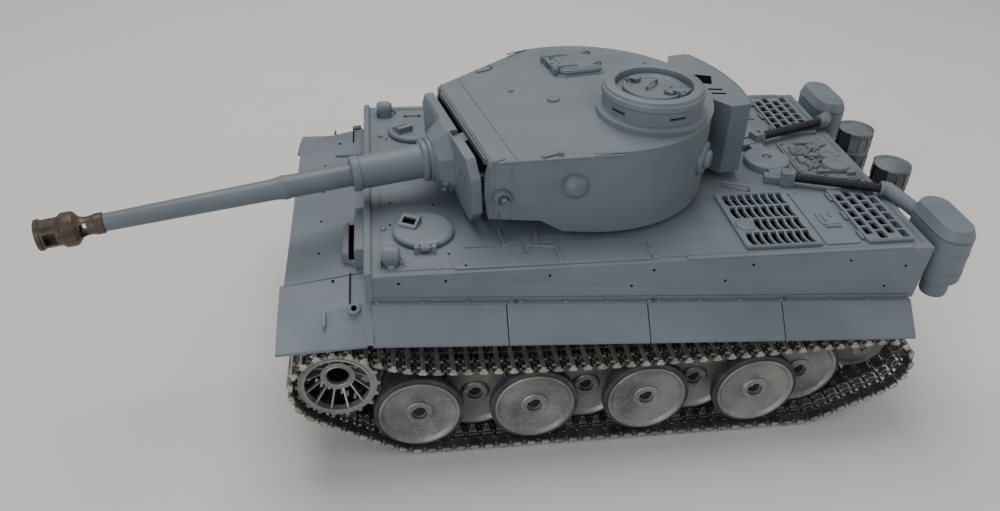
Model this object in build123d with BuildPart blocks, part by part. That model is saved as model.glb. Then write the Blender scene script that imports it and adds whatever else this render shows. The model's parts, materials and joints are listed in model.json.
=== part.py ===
"""Radio-controlled scale model of a heavy tank, 1:16, as an assembly of separate pieces.

Frame: millimetres, +X forward, +Y to the crew's left, +Z up, tracks standing on z = 0.
The turret is drawn facing straight ahead and then turned to its rest angle.
"""

import os
from math import atan2, cos, degrees, hypot, radians, sin

from build123d import *

os.makedirs("parts", exist_ok=True)

# Driving dimensions, in millimetres and degrees -------------------------------------------
DECK_Z = 117.0            # top of the hull roof
DECK_FRONT = 80.0         # front face of the driver's plate
DECK_REAR = -222.5        # rear edge of the hull roof
SPONSON_HALF = 98.4       # half width over the hull side walls
SKIRT_Z_FRONT = 102.0     # hinge line of the side skirts at the driver's plate
SKIRT_Z_REAR = 83.7       # and at the rear plate
WALL = 2.4                # thickness of the hull mouldings
TUB_HALF = 55.0           # half width of the lower hull
TUB_FLOOR = 31.0          # ground clearance
GLACIS_FRONT = 126.0      # front edge of the glacis
GLACIS_Z_REAR = 104.5     # glacis top where it meets the driver's plate
GLACIS_Z_FRONT = 97.0     # glacis top at its front edge

RING_X = -46.7            # turret axis
RING_R = 55.0             # opening in the hull roof
TURRET_YAW = 11.5         # turret turned to the left at rest
TURRET_R = 72.0           # rear arc of the turret wall
TURRET_BASE = 120.0
TURRET_ROOF = 168.3
TURRET_FRONT_X = 74.0     # ahead of the turret axis
TURRET_FRONT_HALF = 49.5
ROOF_FRONT_Z = 160.0      # roof height at its front edge
ROOF_BREAK_X = 6.0        # the roof slopes down ahead of this line
TURRET_WALL = 2.6

TRUNNION_X = 66.0         # ahead of the turret axis
TRUNNION_Z = 141.0
GUN_DROOP = 3.6           # the gun points down by this much at rest

TRACK_CENTRE = 88.2
TRACK_WIDTH = 45.3
TRACK_PITCH = 8.125
TRACK_WEB = 1.5           # thickness of a link's plate
GROUSER = 1.6             # height of a link's cleat
HORN_OUT, HORN_IN = 97.5, 71.5    # guide horns run between the wheel rows
WHEEL_R = 25.0
AXLE_Z = 28.8
AXLE_ONE_X = 57.9
AXLE_PITCH = 32.19
AXLES = 8
STUB_R = 3.0              # stub axles
SPROCKET_X, SPROCKET_Z, SPROCKET_R = 100.7, 52.5, 22.3
IDLER_X, IDLER_Z, IDLER_R = -205.5, 41.3, 18.3
TRACK_GAP = 0.7           # between the track's inner face and the wheels

LEFT, RIGHT = 1, -1
SIDES = ((LEFT, "left"), (RIGHT, "right"))


def keep(part, name):
    """Label one finished piece and write it as its own STEP file."""
    part.label = name
    export_step(part, f"parts/{name}.step")


def turned(part, droop=0.0):
    """Turn a turret piece from straight ahead to its rest pose, after any droop of the gun."""
    if droop:
        part = part.rotate(Axis((TRUNNION_X, 0, TRUNNION_Z), (0, 1, 0)), droop)
    part = part.rotate(Axis.Z, TURRET_YAW)
    return part.moved(Location((RING_X, 0, 0)))


def skirt_z(x):
    """Height of the skirts' hinge line at x."""
    share = (DECK_FRONT - x) / (DECK_FRONT - DECK_REAR)
    return SKIRT_Z_FRONT + (SKIRT_Z_REAR - SKIRT_Z_FRONT) * share


def sheet(front_x, front, rear_x, rear, thick):
    """A folded sheet between two cross-sections, each a list of (y, z) points."""
    sections = []
    for x, points in ((front_x, front), (rear_x, rear)):
        lower = [(y, z - thick) for y, z in reversed(points)]
        with BuildSketch(Plane.YZ.offset(x)) as section:
            with BuildLine():
                Polyline(*points, *lower, close=True)
            make_face()
        sections.append(section.sketch)
    loft(sections, ruled=True)


# Upper hull: roof, side walls, sponson floors, driver's plate and glacis ------------------
HATCH_X, HATCH_Y, HATCH_R = 51.0, 60.0, 16.5
GRILLE_Y, GRILLE_WIDTH = 64.0, 56.0
GRILLES = ((-140.5, 43.0), (-201.0, 27.0))        # centre x and length of each grille
ENGINE_X, ENGINE_LENGTH, ENGINE_WIDTH = -199.0, 36.0, 52.0
CAP_X, CAP_R = -165.0, 14.0
HATCH_PIN_Y = HATCH_Y + HATCH_R + 1.8
HATCH_PIN_Z = DECK_Z + 2.4
HATCH_PIN_R = 0.8

with BuildPart() as upper_hull:
    with BuildSketch(Plane.XZ):
        with BuildLine():
            Polyline(
                (DECK_FRONT, DECK_Z), (DECK_FRONT, SKIRT_Z_FRONT),
                (DECK_REAR + 3, SKIRT_Z_REAR), (DECK_REAR, DECK_Z), close=True,
            )
        make_face()
    extrude(amount=SPONSON_HALF, both=True)
    with BuildSketch(Plane.XZ):
        with BuildLine():
            Polyline(
                (DECK_FRONT - WALL, DECK_Z - WALL), (DECK_FRONT - WALL, SKIRT_Z_FRONT + WALL),
                (DECK_REAR + 3 + WALL, SKIRT_Z_REAR + WALL), (DECK_REAR + WALL, DECK_Z - WALL),
                close=True,
            )
        make_face()
    extrude(amount=SPONSON_HALF - WALL, both=True, mode=Mode.SUBTRACT)
    with BuildSketch(Plane.XY.offset(SKIRT_Z_REAR - 5)):
        with Locations(((DECK_FRONT + DECK_REAR) / 2, 0)):
            Rectangle(DECK_FRONT - DECK_REAR - 2 * WALL - 6, 2 * TUB_HALF)
    extrude(amount=26, mode=Mode.SUBTRACT)
    # Openings in the roof
    with BuildSketch(Plane.XY.offset(DECK_Z - 5)):
        with Locations((RING_X, 0)):
            Circle(RING_R)
        with Locations((HATCH_X, HATCH_Y), (HATCH_X, -HATCH_Y)):
            Circle(HATCH_R - 2.5)
        for x, length in GRILLES:
            with Locations((x, GRILLE_Y), (x, -GRILLE_Y)):
                Rectangle(length - 4, GRILLE_WIDTH - 4)
        with Locations((ENGINE_X, 0)):
            Rectangle(ENGINE_LENGTH - 4, ENGINE_WIDTH - 4)
        with Locations((CAP_X, 0)):
            Circle(CAP_R - 4)
    extrude(amount=8, mode=Mode.SUBTRACT)
    # Raised strip on top of the driver's plate
    with Locations((DECK_FRONT + 0.9, 0, DECK_Z + 0.6)):
        Box(3.2, 2 * SPONSON_HALF, 3.2)
    # Driver's plate reaches down to the glacis, which closes the bow
    with BuildSketch(Plane.XZ):
        with BuildLine():
            Polyline(
                (DECK_FRONT - WALL, SKIRT_Z_FRONT + WALL), (DECK_FRONT, GLACIS_Z_REAR),
                (GLACIS_FRONT, GLACIS_Z_FRONT), (GLACIS_FRONT, GLACIS_Z_FRONT - WALL),
                (DECK_FRONT - WALL, GLACIS_Z_REAR - WALL), close=True,
            )
        make_face()
    extrude(amount=SPONSON_HALF - 25, both=True)
    # Lugs and pins for the crew hatches
    for side, _ in SIDES:
        with Locations(
            (HATCH_X - 4.6, side * HATCH_PIN_Y, DECK_Z), (HATCH_X + 4.6, side * HATCH_PIN_Y, DECK_Z)
        ):
            Box(2.2, 3.0, 4.0, align=(Align.CENTER, Align.CENTER, Align.MIN))
        with Locations(Location((HATCH_X, side * HATCH_PIN_Y, HATCH_PIN_Z), (0, 90, 0))):
            Cylinder(HATCH_PIN_R, 9.0)
    # Ribs on the roof: cable run and tool rail ahead, a strip along the rear edge
    for side, _ in SIDES:
        for x1, x2, y, width in ((30, -62, 76.0, 1.1), (37, -66, 95.4, 1.1), (-85, -211, 96.6, 3.0)):
            with Locations(((x1 + x2) / 2, side * y, DECK_Z)):
                Box(x1 - x2, width, 1.6)
        for x, y in ((10, 72.5), (-8, 72.5), (-2, 81.0), (-18, 92.0), (-67, 90.0)):
            with Locations((x, side * y, DECK_Z)):
                Box(1.2, 7.0, 2.2)
keep(upper_hull.part, "upper_hull")

# Lower hull: an open tub with the nose, floor and rear plate ------------------------------
NOSE = ((GLACIS_FRONT - 0.6, GLACIS_Z_FRONT - WALL - 0.3), (130.0, 72.0), (119.0, 48.0), (97.0, TUB_FLOOR))
TAIL = ((-198.0, TUB_FLOOR), (-213.0, 45.0), (DECK_REAR + 4.5, SKIRT_Z_REAR - 0.3))


def tub_outline(inset):
    """Side outline of the lower hull, drawn inwards by a wall thickness."""
    nose = [(x - inset * 1.2, z + inset * 0.8 if z < 60 else z) for x, z in NOSE]
    tail = [(x + inset * 1.2, z + inset * 0.8 if z < 60 else z) for x, z in TAIL]
    top = [(DECK_FRONT - 3, SKIRT_Z_FRONT - 0.3 + inset * 0.02)]
    return nose + tail + top


with BuildPart() as lower_hull:
    with BuildSketch(Plane.XZ):
        with BuildLine():
            Polyline(*tub_outline(0.0), close=True)
        make_face()
    extrude(amount=TUB_HALF, both=True)
    with BuildSketch(Plane.XZ):
        with BuildLine():
            Polyline(*tub_outline(WALL), close=True)
        make_face()
    extrude(amount=TUB_HALF - WALL, both=True, mode=Mode.SUBTRACT)
    with BuildSketch(Plane.XY.offset(80)):
        with Locations(((DECK_FRONT + DECK_REAR) / 2, 0)):
            Rectangle(DECK_FRONT - DECK_REAR - 16, 2 * (TUB_HALF - WALL))
    extrude(amount=30, mode=Mode.SUBTRACT)
    # Final drive housings carry the sprocket shafts, bosses carry the idlers
    for x, z, r in ((SPROCKET_X, SPROCKET_Z, 13.0), (IDLER_X, IDLER_Z, 7.0)):
        for side, _ in SIDES:
            with BuildSketch(Plane.XZ.offset(-side * (TUB_HALF - 0.6))):
                with Locations((x, z)):
                    Circle(r)
            extrude(amount=-side * 5.2)
    with BuildSketch(Plane.XZ):
        with Locations((SPROCKET_X, SPROCKET_Z), (IDLER_X, IDLER_Z)):
            Circle(STUB_R + 0.5)
    extrude(amount=TUB_HALF + 12, both=True, mode=Mode.SUBTRACT)
keep(lower_hull.part, "lower_hull")

# Side skirts: four sloping sheets a side, hinged along the hull ---------------------------
SKIRT_OUT = 17.5
SKIRT_DROP = 14.8
SKIRT_ENDS = (80.0, 10.8, -64.9, -140.6, -217.5)
SKIRT_THICK = 1.4

with BuildPart() as side_skirts:
    for side, _ in SIDES:
        for front_x, rear_x in zip(SKIRT_ENDS, SKIRT_ENDS[1:]):
            ends = []
            for x in (front_x - 0.3, rear_x + 0.3):
                z = skirt_z(x)
                ends.append([
                    (side * (SPONSON_HALF + 0.2), z),
                    (side * (SPONSON_HALF + 3.4), z),
                    (side * (SPONSON_HALF + SKIRT_OUT), z - SKIRT_DROP),
                ])
            sheet(front_x - 0.3, ends[0], rear_x + 0.3, ends[1], SKIRT_THICK)
keep(side_skirts.part, "side_skirts")

# Front mudguards over the sprockets -------------------------------------------------------
GUARD_INNER = SPONSON_HALF - 24.7
with BuildPart() as mudguards:
    for side, _ in SIDES:
        front = [(side * GUARD_INNER, 96.6), (side * 98.4, 92.2), (side * 117.9, 87.0)]
        rear = [(side * GUARD_INNER, 103.6), (side * 98.4, 101.8), (side * 116.2, 88.0)]
        sheet(128.2, front, 82.8, rear, 1.6)
keep(mudguards.part, "mudguards")

# Screws: skirt screws in pairs, roof screws, rear plate screws ----------------------------
with BuildPart() as hull_screws:
    for side, _ in SIDES:
        for front_x, rear_x in zip(SKIRT_ENDS, SKIRT_ENDS[1:]):
            for share in (0.06, 0.34, 0.66, 0.94):
                x = front_x + (rear_x - front_x) * share
                with Locations((x, side * (SPONSON_HALF + 1.9), skirt_z(x) + 0.08)):
                    Cylinder(1.1, 1.2, align=(Align.CENTER, Align.CENTER, Align.MIN))
    for x in (72.0, -212.0):
        for y in (-30.0, 30.0):
            with Locations((x, y, DECK_Z)):
                Cylinder(1.3, 0.9, align=(Align.CENTER, Align.CENTER, Align.MIN))
keep(hull_screws.part, "hull_screws")

# Driver's visor on the front plate --------------------------------------------------------
VISOR_Y = 43.0
with BuildPart() as driver_visor:
    with BuildSketch(Plane.YZ.offset(DECK_FRONT)):
        with Locations((VISOR_Y, 111.5)):
            RectangleRounded(36.0, 9.0, 1.5)
    extrude(amount=3.4)
    with BuildSketch(Plane.YZ.offset(DECK_FRONT + 3.4)):
        with Locations((VISOR_Y, 111.5)):
            Rectangle(28.0, 2.4)
    extrude(amount=-2.4, mode=Mode.SUBTRACT)
keep(driver_visor.part, "driver_visor")

# Bow gun: a ball in a round housing on the front plate ------------------------------------
BOW_GUN_Y = -43.0
with BuildPart() as bow_gun:
    with BuildSketch(Plane.YZ.offset(DECK_FRONT)):
        with Locations((BOW_GUN_Y, 110.6)):
            Circle(5.2)
    extrude(amount=2.6)
    with Locations((DECK_FRONT + 2.6, BOW_GUN_Y, 110.6)):
        Sphere(3.8)
    with Locations(Location((DECK_FRONT + 4, BOW_GUN_Y, 110.6), (0, 90, 0))):
        Cylinder(1.4, 17, align=(Align.CENTER, Align.CENTER, Align.MIN))
    with BuildSketch(Plane.YZ.offset(DECK_FRONT - 5)):
        with Locations((BOW_GUN_Y, 110.6)):
            Rectangle(20, 20)
    extrude(amount=5.0, mode=Mode.SUBTRACT)
keep(bow_gun.part, "bow_gun")

# Headlights stand on the roof corners -----------------------------------------------------
LAMP_X, LAMP_Y, LAMP_R = 69.0, 90.5, 4.2
LAMP_Z = 121.4
with BuildPart() as headlights:
    for side, _ in SIDES:
        with Locations((LAMP_X, side * LAMP_Y, DECK_Z)):
            Cylinder(2.2, 2.2, align=(Align.CENTER, Align.CENTER, Align.MIN))
        with BuildSketch(Plane.XZ.offset(-side * LAMP_Y)):
            with BuildLine():
                Line((LAMP_X + 6.5, LAMP_Z), (LAMP_X + 6.5, LAMP_Z + LAMP_R))
                Line((LAMP_X + 6.5, LAMP_Z + LAMP_R), (LAMP_X, LAMP_Z + LAMP_R))
                Spline(
                    (LAMP_X, LAMP_Z + LAMP_R), (LAMP_X - 4.4, LAMP_Z + 2.9), (LAMP_X - 6, LAMP_Z),
                    tangents=((-1, 0), (0, -1)),
                )
                Line((LAMP_X - 6, LAMP_Z), (LAMP_X + 6.5, LAMP_Z))
            make_face()
        revolve(axis=Axis((LAMP_X, side * LAMP_Y, LAMP_Z), (1, 0, 0)))
keep(headlights.part, "headlights")

# Tow shackles on the lower hull's rear plate ----------------------------------------------
SHACKLE = (-220.9, 49.0, 58.2)
with BuildPart() as tow_shackles:
    for side, _ in SIDES:
        with BuildSketch(Plane.XZ.offset(-side * SHACKLE[1])):
            with Locations((SHACKLE[0], SHACKLE[2])):
                Circle(6.0)
                Circle(2.8, mode=Mode.SUBTRACT)
        extrude(amount=2.2, both=True)
keep(tow_shackles.part, "tow_shackles")

# Rear fittings: exhaust pipes in their shields, air filters and hoses ---------------------
EXHAUST_X, EXHAUST_Y, EXHAUST_R = -233.6, 24.0, 11.6
EXHAUST_TOP = 127.0
EXHAUST_FOOT = 84.0
with BuildPart() as exhaust_pipes:
    for side, _ in SIDES:
        with BuildSketch(Plane.XY.offset(EXHAUST_FOOT - 4)):
            with Locations((EXHAUST_X, side * EXHAUST_Y)):
                Circle(8.2)
                Circle(5.6, mode=Mode.SUBTRACT)
        extrude(amount=EXHAUST_TOP - EXHAUST_FOOT + 2.4)
        # Elbow into the rear plate
        with Locations((EXHAUST_X + 10.6, side * EXHAUST_Y, EXHAUST_FOOT - 3.2)):
            Box(9.9, 8.0, 5.0)
keep(exhaust_pipes.part, "exhaust_pipes")

with BuildPart() as exhaust_shields:
    for side, _ in SIDES:
        with BuildSketch(Plane.XY.offset(EXHAUST_FOOT)):
            with Locations((EXHAUST_X, side * EXHAUST_Y)):
                Circle(EXHAUST_R)
                Circle(EXHAUST_R - 1.6, mode=Mode.SUBTRACT)
            with Locations((EXHAUST_X + 10, side * EXHAUST_Y)):
                Rectangle(12.5, 30, mode=Mode.SUBTRACT)
        extrude(amount=EXHAUST_TOP - EXHAUST_FOOT)
        with BuildSketch(Plane.XY.offset(EXHAUST_TOP)):
            with Locations((EXHAUST_X, side * EXHAUST_Y)):
                Circle(EXHAUST_R)
                Circle(3.4, mode=Mode.SUBTRACT)
            with Locations((EXHAUST_X + 10, side * EXHAUST_Y)):
                Rectangle(12.5, 30, mode=Mode.SUBTRACT)
        extrude(amount=-1.6)
keep(exhaust_shields.part, "exhaust_shields")

FILTER_X, FILTER_Y = -237.1, 80.0
FILTER_BASE, FILTER_TOP = 92.0, 123.0
HOSE_R = 3.3
HOSE_Z = 122.2
HOSE_START = (-171.6, 26.8)
HOSE_END = (-221.5, 44.8)
HOSE_RUN = (HOSE_END[0] - HOSE_START[0], HOSE_END[1] - HOSE_START[1])
COLLAR = 4.4
INLET_RUN = (-11.5, 17.5, -6.0)
INLET_R = 4.2


def hose_plane(side):
    """Plane at the start of a hose, square to its run."""
    return Plane(
        origin=(HOSE_START[0], side * HOSE_START[1], HOSE_Z), x_dir=(0, 0, 1),
        z_dir=(HOSE_RUN[0], side * HOSE_RUN[1], 0),
    )


with BuildPart() as air_filters:
    for side, _ in SIDES:
        with BuildSketch(Plane.XY.offset(FILTER_BASE)):
            with Locations((FILTER_X, side * FILTER_Y)):
                SlotOverall(43.0, 21.4, rotation=90)
        extrude(amount=FILTER_TOP - FILTER_BASE - 1.8)
        with BuildSketch(Plane.XY.offset(FILTER_TOP - 1.8)):
            with Locations((FILTER_X, side * FILTER_Y)):
                SlotOverall(43.0, 21.4, rotation=90)
        extrude(amount=1.8, taper=40)
        with BuildSketch(Plane.XY.offset(FILTER_BASE - 12)):
            with Locations((FILTER_X, side * (FILTER_Y + 10)), (FILTER_X, side * (FILTER_Y - 10))):
                Circle(7.5)
        extrude(amount=12)
        # Bracket to the rear plate, and the inlet that the hose plugs into
        with Locations((FILTER_X + 12.9, side * FILTER_Y, 104)):
            Box(5.0, 14, 8)
        inlet = Plane(
            origin=(HOSE_END[0], side * HOSE_END[1], HOSE_Z), x_dir=(0, 0, 1),
            z_dir=(INLET_RUN[0], side * INLET_RUN[1], INLET_RUN[2]),
        )
        with BuildSketch(inlet):
            Circle(INLET_R)
        extrude(amount=hypot(*INLET_RUN))
        with Locations((HOSE_END[0], side * HOSE_END[1], HOSE_Z)):
            Sphere(INLET_R)
        with BuildSketch(hose_plane(side).offset(hypot(*HOSE_RUN) - COLLAR)):
            Circle(INLET_R)
        extrude(amount=COLLAR)
keep(air_filters.part, "air_filters")

with BuildPart() as air_hoses:
    for side, _ in SIDES:
        with BuildSketch(hose_plane(side)):
            Circle(HOSE_R)
        extrude(amount=hypot(*HOSE_RUN) - COLLAR)
keep(air_hoses.part, "air_hoses")

# Roof fittings over the engine: intake cap with hose sockets, cover and grilles -----------
with BuildPart() as intake_cap:
    with BuildSketch(Plane.XY.offset(DECK_Z)):
        with Locations((CAP_X, 0)):
            Circle(CAP_R)
    extrude(amount=4.6)
    with Locations((CAP_X, 0, DECK_Z)):
        Box(9.0, 46.0, 3.8, align=(Align.CENTER, Align.CENTER, Align.MIN))
    for side, _ in SIDES:
        turn = -side * degrees(atan2(HOSE_RUN[1], -HOSE_RUN[0]))
        with Locations(Location((HOSE_START[0], side * HOSE_START[1], DECK_Z), (0, 0, turn))):
            Box(8.0, 8.0, 8.6, align=(Align.MIN, Align.CENTER, Align.MIN))
    with Locations((CAP_X, 0, DECK_Z + 4.6)):
        Box(6.0, 6.0, 3.0, mode=Mode.SUBTRACT)
keep(intake_cap.part, "intake_cap")

with BuildPart() as engine_cover:
    with Locations((ENGINE_X, 0, DECK_Z)):
        Box(ENGINE_LENGTH, ENGINE_WIDTH, 1.6, align=(Align.CENTER, Align.CENTER, Align.MIN))
    fillet(engine_cover.edges().filter_by(Axis.Z), 5.0)
    for x, y in ((ENGINE_X + 6, 7), (ENGINE_X - 7, 8), (ENGINE_X - 4, -10)):
        with Locations((x, y, DECK_Z + 1.6)):
            Cylinder(5.5, 1.6, align=(Align.CENTER, Align.CENTER, Align.MIN))
    with Locations((ENGINE_X + 11, -9, DECK_Z + 1.6)):
        Box(5, 14, 1.6, align=(Align.CENTER, Align.CENTER, Align.MIN))
keep(engine_cover.part, "engine_cover")

FRONT_SLOTS = (8, 4)              # along and across the hull
FRONT_SLOT = (2.9, 11.4)
FRONT_PITCH = (4.6, 13.2)
REAR_SLOT = (3.6, 7.0)
REAR_PITCH = (6.4, 8.7)
with BuildPart() as deck_grilles:
    for side, _ in SIDES:
        for x, length in GRILLES:
            with Locations((x, side * GRILLE_Y, DECK_Z)):
                Box(length, GRILLE_WIDTH, 1.4, align=(Align.CENTER, Align.CENTER, Align.MIN))
        (front_x, _), (rear_x, _) = GRILLES
        with Locations((front_x, side * GRILLE_Y, DECK_Z + 0.7)):
            with GridLocations(*FRONT_PITCH, *FRONT_SLOTS):
                Box(*FRONT_SLOT, 3.0, mode=Mode.SUBTRACT)
        # Every other row of the rear grille is shifted by half a slot, as in brickwork
        for row in range(4):
            with Locations((rear_x + (row - 1.5) * REAR_PITCH[0], side * GRILLE_Y, DECK_Z + 0.7)):
                with GridLocations(1, REAR_PITCH[1], 1, 6 - row % 2):
                    Box(*REAR_SLOT, 3.0, mode=Mode.SUBTRACT)
keep(deck_grilles.part, "deck_grilles")

HANDLE_R, HANDLE_Z = 0.7, 2.3
with BuildPart() as grab_handle:
    for x in (-128.0, -142.0):
        with Locations((x, 25.0 + (x + 128.0) * -0.5, DECK_Z)):
            Cylinder(HANDLE_R, HANDLE_Z, align=(Align.CENTER, Align.CENTER, Align.MIN))
    bar = Plane(origin=(-127.4, 24.7, DECK_Z + HANDLE_Z), x_dir=(0, 0, 1), z_dir=(-14.0, 7.0, 0))
    with BuildSketch(bar):
        Circle(HANDLE_R)
    extrude(amount=17.0)
keep(grab_handle.part, "grab_handle")

# Crew hatches in the hull roof ------------------------------------------------------------
with BuildPart() as crew_hatch:
    with BuildSketch(Plane.XY.offset(DECK_Z + 0.3)):
        with Locations((HATCH_X, 0)):
            Circle(HATCH_R)
    extrude(amount=3.2)
    fillet(crew_hatch.edges().group_by(Axis.Z)[-1], 1.2)
    with Locations((HATCH_X + 7.0, 0, DECK_Z + 3.0)):
        Box(9.5, 9.0, 5.0, align=(Align.CENTER, Align.CENTER, Align.MIN))
    with Locations((HATCH_X + 11.0, 0, DECK_Z + 5.8)):
        Box(4.0, 6.6, 2.6, mode=Mode.SUBTRACT)
    with Locations((HATCH_X, HATCH_R, DECK_Z + 0.4)):
        Box(4.8, 3.4, 2.8, align=(Align.CENTER, Align.CENTER, Align.MIN))
    with Locations(Location((HATCH_X, HATCH_PIN_Y - HATCH_Y, HATCH_PIN_Z), (0, 90, 0))):
        Cylinder(1.9, 4.8)
        Cylinder(HATCH_PIN_R + 0.3, 12, mode=Mode.SUBTRACT)
keep(crew_hatch.part.moved(Location((0, HATCH_Y, 0))), "driver_hatch")
keep(mirror(crew_hatch.part, Plane.XZ).moved(Location((0, -HATCH_Y, 0))), "radio_operator_hatch")

# Running gear: tracks ---------------------------------------------------------------------
TOP_RUN = ((66.0, 62.6), (36.0, 58.9), (-18.0, 56.6), (-72.0, 56.4), (-126.0, 57.4), (-172.0, 59.2))


def arc_points(centre, radius, start, end, step=1.5):
    """Points on an arc, angles in degrees from +X towards +Z, drawn from start to end."""
    count = max(2, int(abs(end - start) / step))
    angles = [radians(start + (end - start) * i / count) for i in range(count + 1)]
    return [(centre[0] + radius * cos(a), centre[1] + radius * sin(a)) for a in angles]


def tangent_angle(from_circle, to_circle):
    """Direction, in degrees, of both contact radii of a belt that runs below two circles."""
    (x1, z1, r1), (x2, z2, r2) = from_circle, to_circle
    run = atan2(z2 - z1, x2 - x1)
    turn = atan2(r1 - r2, (hypot(x2 - x1, z2 - z1) ** 2 - (r1 - r2) ** 2) ** 0.5)
    return degrees(run + turn) - 90.0


def track_path():
    """Inner face of the track as closely spaced points, once round from the sprocket's top."""
    sprocket = (SPROCKET_X, SPROCKET_Z, SPROCKET_R + 2 * TRACK_GAP)
    idler = (IDLER_X, IDLER_Z, hypot(IDLER_R + TRACK_GAP, TRACK_PITCH / 2))
    first = (AXLE_ONE_X, AXLE_Z, WHEEL_R + TRACK_GAP)
    last = (AXLE_ONE_X - AXLE_PITCH * (AXLES - 1), AXLE_Z, WHEEL_R + TRACK_GAP)
    fore = tangent_angle(first, sprocket)
    aft = tangent_angle(idler, last)
    leave = 122.0
    start = arc_points(sprocket[:2], sprocket[2], fore, leave)
    end = arc_points(idler[:2], idler[2], 84.0, 360.0 + aft)
    angle = radians(leave + 90.0)
    top = Spline(start[-1], *TOP_RUN, end[0], tangents=((cos(angle), sin(angle)), (-1.0, 0.05)))
    slack = [top.position_at(i / 200) for i in range(1, 200)]
    rear = arc_points(last[:2], last[2], aft, -90.0)
    front = arc_points(first[:2], first[2], -90.0, fore)
    return start + [(p.X, p.Y) for p in slack] + end + rear + front


def track_pins():
    """Link pins, evenly spaced along the path: each link joins one pin to the next."""
    points = track_path()
    loop = points + points[:1]
    lengths = [hypot(b[0] - a[0], b[1] - a[1]) for a, b in zip(loop, loop[1:])]
    links = round(sum(lengths) / TRACK_PITCH)
    pitch = sum(lengths) / links
    pins, run = [], 0.0
    for a, b, length in zip(loop, loop[1:], lengths):
        while len(pins) < links and run + length > len(pins) * pitch:
            share = (len(pins) * pitch - run) / length
            pins.append(tuple(p + (q - p) * share for p, q in zip(a, b)))
        run += length
    return pins


with BuildPart() as link:
    # Drawn along X with the inner face up on z = 0, so the cleat points down
    with Locations((0, 0, -TRACK_WEB / 2)):
        Box(TRACK_PITCH - 0.7, TRACK_WIDTH, TRACK_WEB)
    with Locations((0, 0, -TRACK_WEB - GROUSER / 2)):
        Box(1.9, TRACK_WIDTH - 1.0, GROUSER)
    with Locations((0, HORN_OUT - TRACK_CENTRE, 2.4), (0, HORN_IN - TRACK_CENTRE, 2.4)):
        Box(3.0, 1.6, 5.0)

PINS = track_pins()
for side, hand in SIDES:
    links = []
    for (x1, z1), (x2, z2) in zip(PINS, PINS[1:] + PINS[:1]):
        middle = ((x1 + x2) / 2, side * TRACK_CENTRE, (z1 + z2) / 2)
        # The path runs anticlockwise seen from the right, so below the wheels it runs forward
        place = Location(middle, (0, -degrees(atan2(z2 - z1, x2 - x1)), 0))
        shape = link.part if side == LEFT else mirror(link.part, Plane.XZ)
        links.append(shape.moved(place))
    keep(Compound(children=links), f"{hand}_track")

# Running gear: suspension arms, road wheels, sprockets and idlers -------------------------
# Wheels sit in two interleaved layers: odd axles outside, even axles inside
OUTER_ROW, INNER_ROW = (104.0, 78.0), (91.0, 65.0)
ARM_Y = TUB_HALF + 0.5
with BuildPart() as suspension_arms:
    for side, _ in SIDES:
        for axle in range(AXLES):
            x = AXLE_ONE_X - AXLE_PITCH * axle
            inner = Plane(origin=(x, side * ARM_Y, AXLE_Z), x_dir=(1, 0, 0), z_dir=(0, side, 0))
            with BuildSketch(inner):
                with Locations(inner.to_local_coords(Vector(x + 6.5, side * ARM_Y, AXLE_Z + 4.5))):
                    SlotOverall(24.0, 8.0, rotation=-35 * side)
            extrude(amount=3.4)
            with BuildSketch(inner):
                Circle(STUB_R)
            extrude(amount=(OUTER_ROW if axle % 2 == 0 else INNER_ROW)[0] + 1.4 - ARM_Y)
keep(suspension_arms.part, "suspension_arms")

WHEEL_HALF = 4.2
RIM_R = 22.4
TYRE_HALF = 3.0


def ring_section(x, z, side, points):
    """Turn one closed half-section, as (radius, distance out from the hull), about its axle."""
    with BuildSketch(Plane((x, 0, z))) as section:
        with BuildLine():
            Polyline(*((radius, side * out) for radius, out in points), close=True)
        make_face()
    revolve(section.sketch, axis=Axis((x, 0, z), (0, 1, 0)))


def wheel_station(x, side, row):
    """Two dished discs with rubber tyres, and the sleeve that holds the discs apart."""
    pieces = []
    for y in row:
        with BuildPart() as disc:
            ring_section(x, AXLE_Z, side, [(radius, y + out) for radius, out in (
                (STUB_R + 0.5, -3.0), (STUB_R + 0.5, 2.6), (7.0, 2.6), (7.4, 0.8), (RIM_R - 2.4, 2.4),
                (RIM_R - 1.4, WHEEL_HALF), (RIM_R, WHEEL_HALF), (RIM_R, -3.6), (RIM_R - 1.6, -3.6),
                (8.0, -1.4), (7.4, -3.0),
            )])
            with Locations(Location((x, side * (y + 2.6), AXLE_Z), (-90 * side, 0, 0))):
                with PolarLocations(5.3, 6):
                    Cylinder(0.8, 0.9, align=(Align.CENTER, Align.CENTER, Align.MIN))
        with BuildPart() as tyre:
            ring_section(x, AXLE_Z, side, [(radius, y + out) for radius, out in (
                (RIM_R, -TYRE_HALF), (WHEEL_R - 0.7, -TYRE_HALF), (WHEEL_R, -TYRE_HALF + 0.7),
                (WHEEL_R, TYRE_HALF - 0.7), (WHEEL_R - 0.7, TYRE_HALF), (RIM_R, TYRE_HALF),
            )])
        pieces += [disc.part, tyre.part]
    near, far = row
    with BuildPart() as sleeve:
        with BuildSketch(Plane(origin=(x, side * (far + 2.6), AXLE_Z), x_dir=(1, 0, 0), z_dir=(0, side, 0))):
            Circle(6.0)
            Circle(STUB_R + 0.5, mode=Mode.SUBTRACT)
        extrude(amount=near - far - 5.6)
    return Compound(children=[*pieces, sleeve.part])


for side, hand in SIDES:
    for axle in range(AXLES):
        row = OUTER_ROW if axle % 2 == 0 else INNER_ROW
        x = AXLE_ONE_X - AXLE_PITCH * axle
        keep(wheel_station(x, side, row), f"{hand}_wheels_{axle + 1}")

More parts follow.
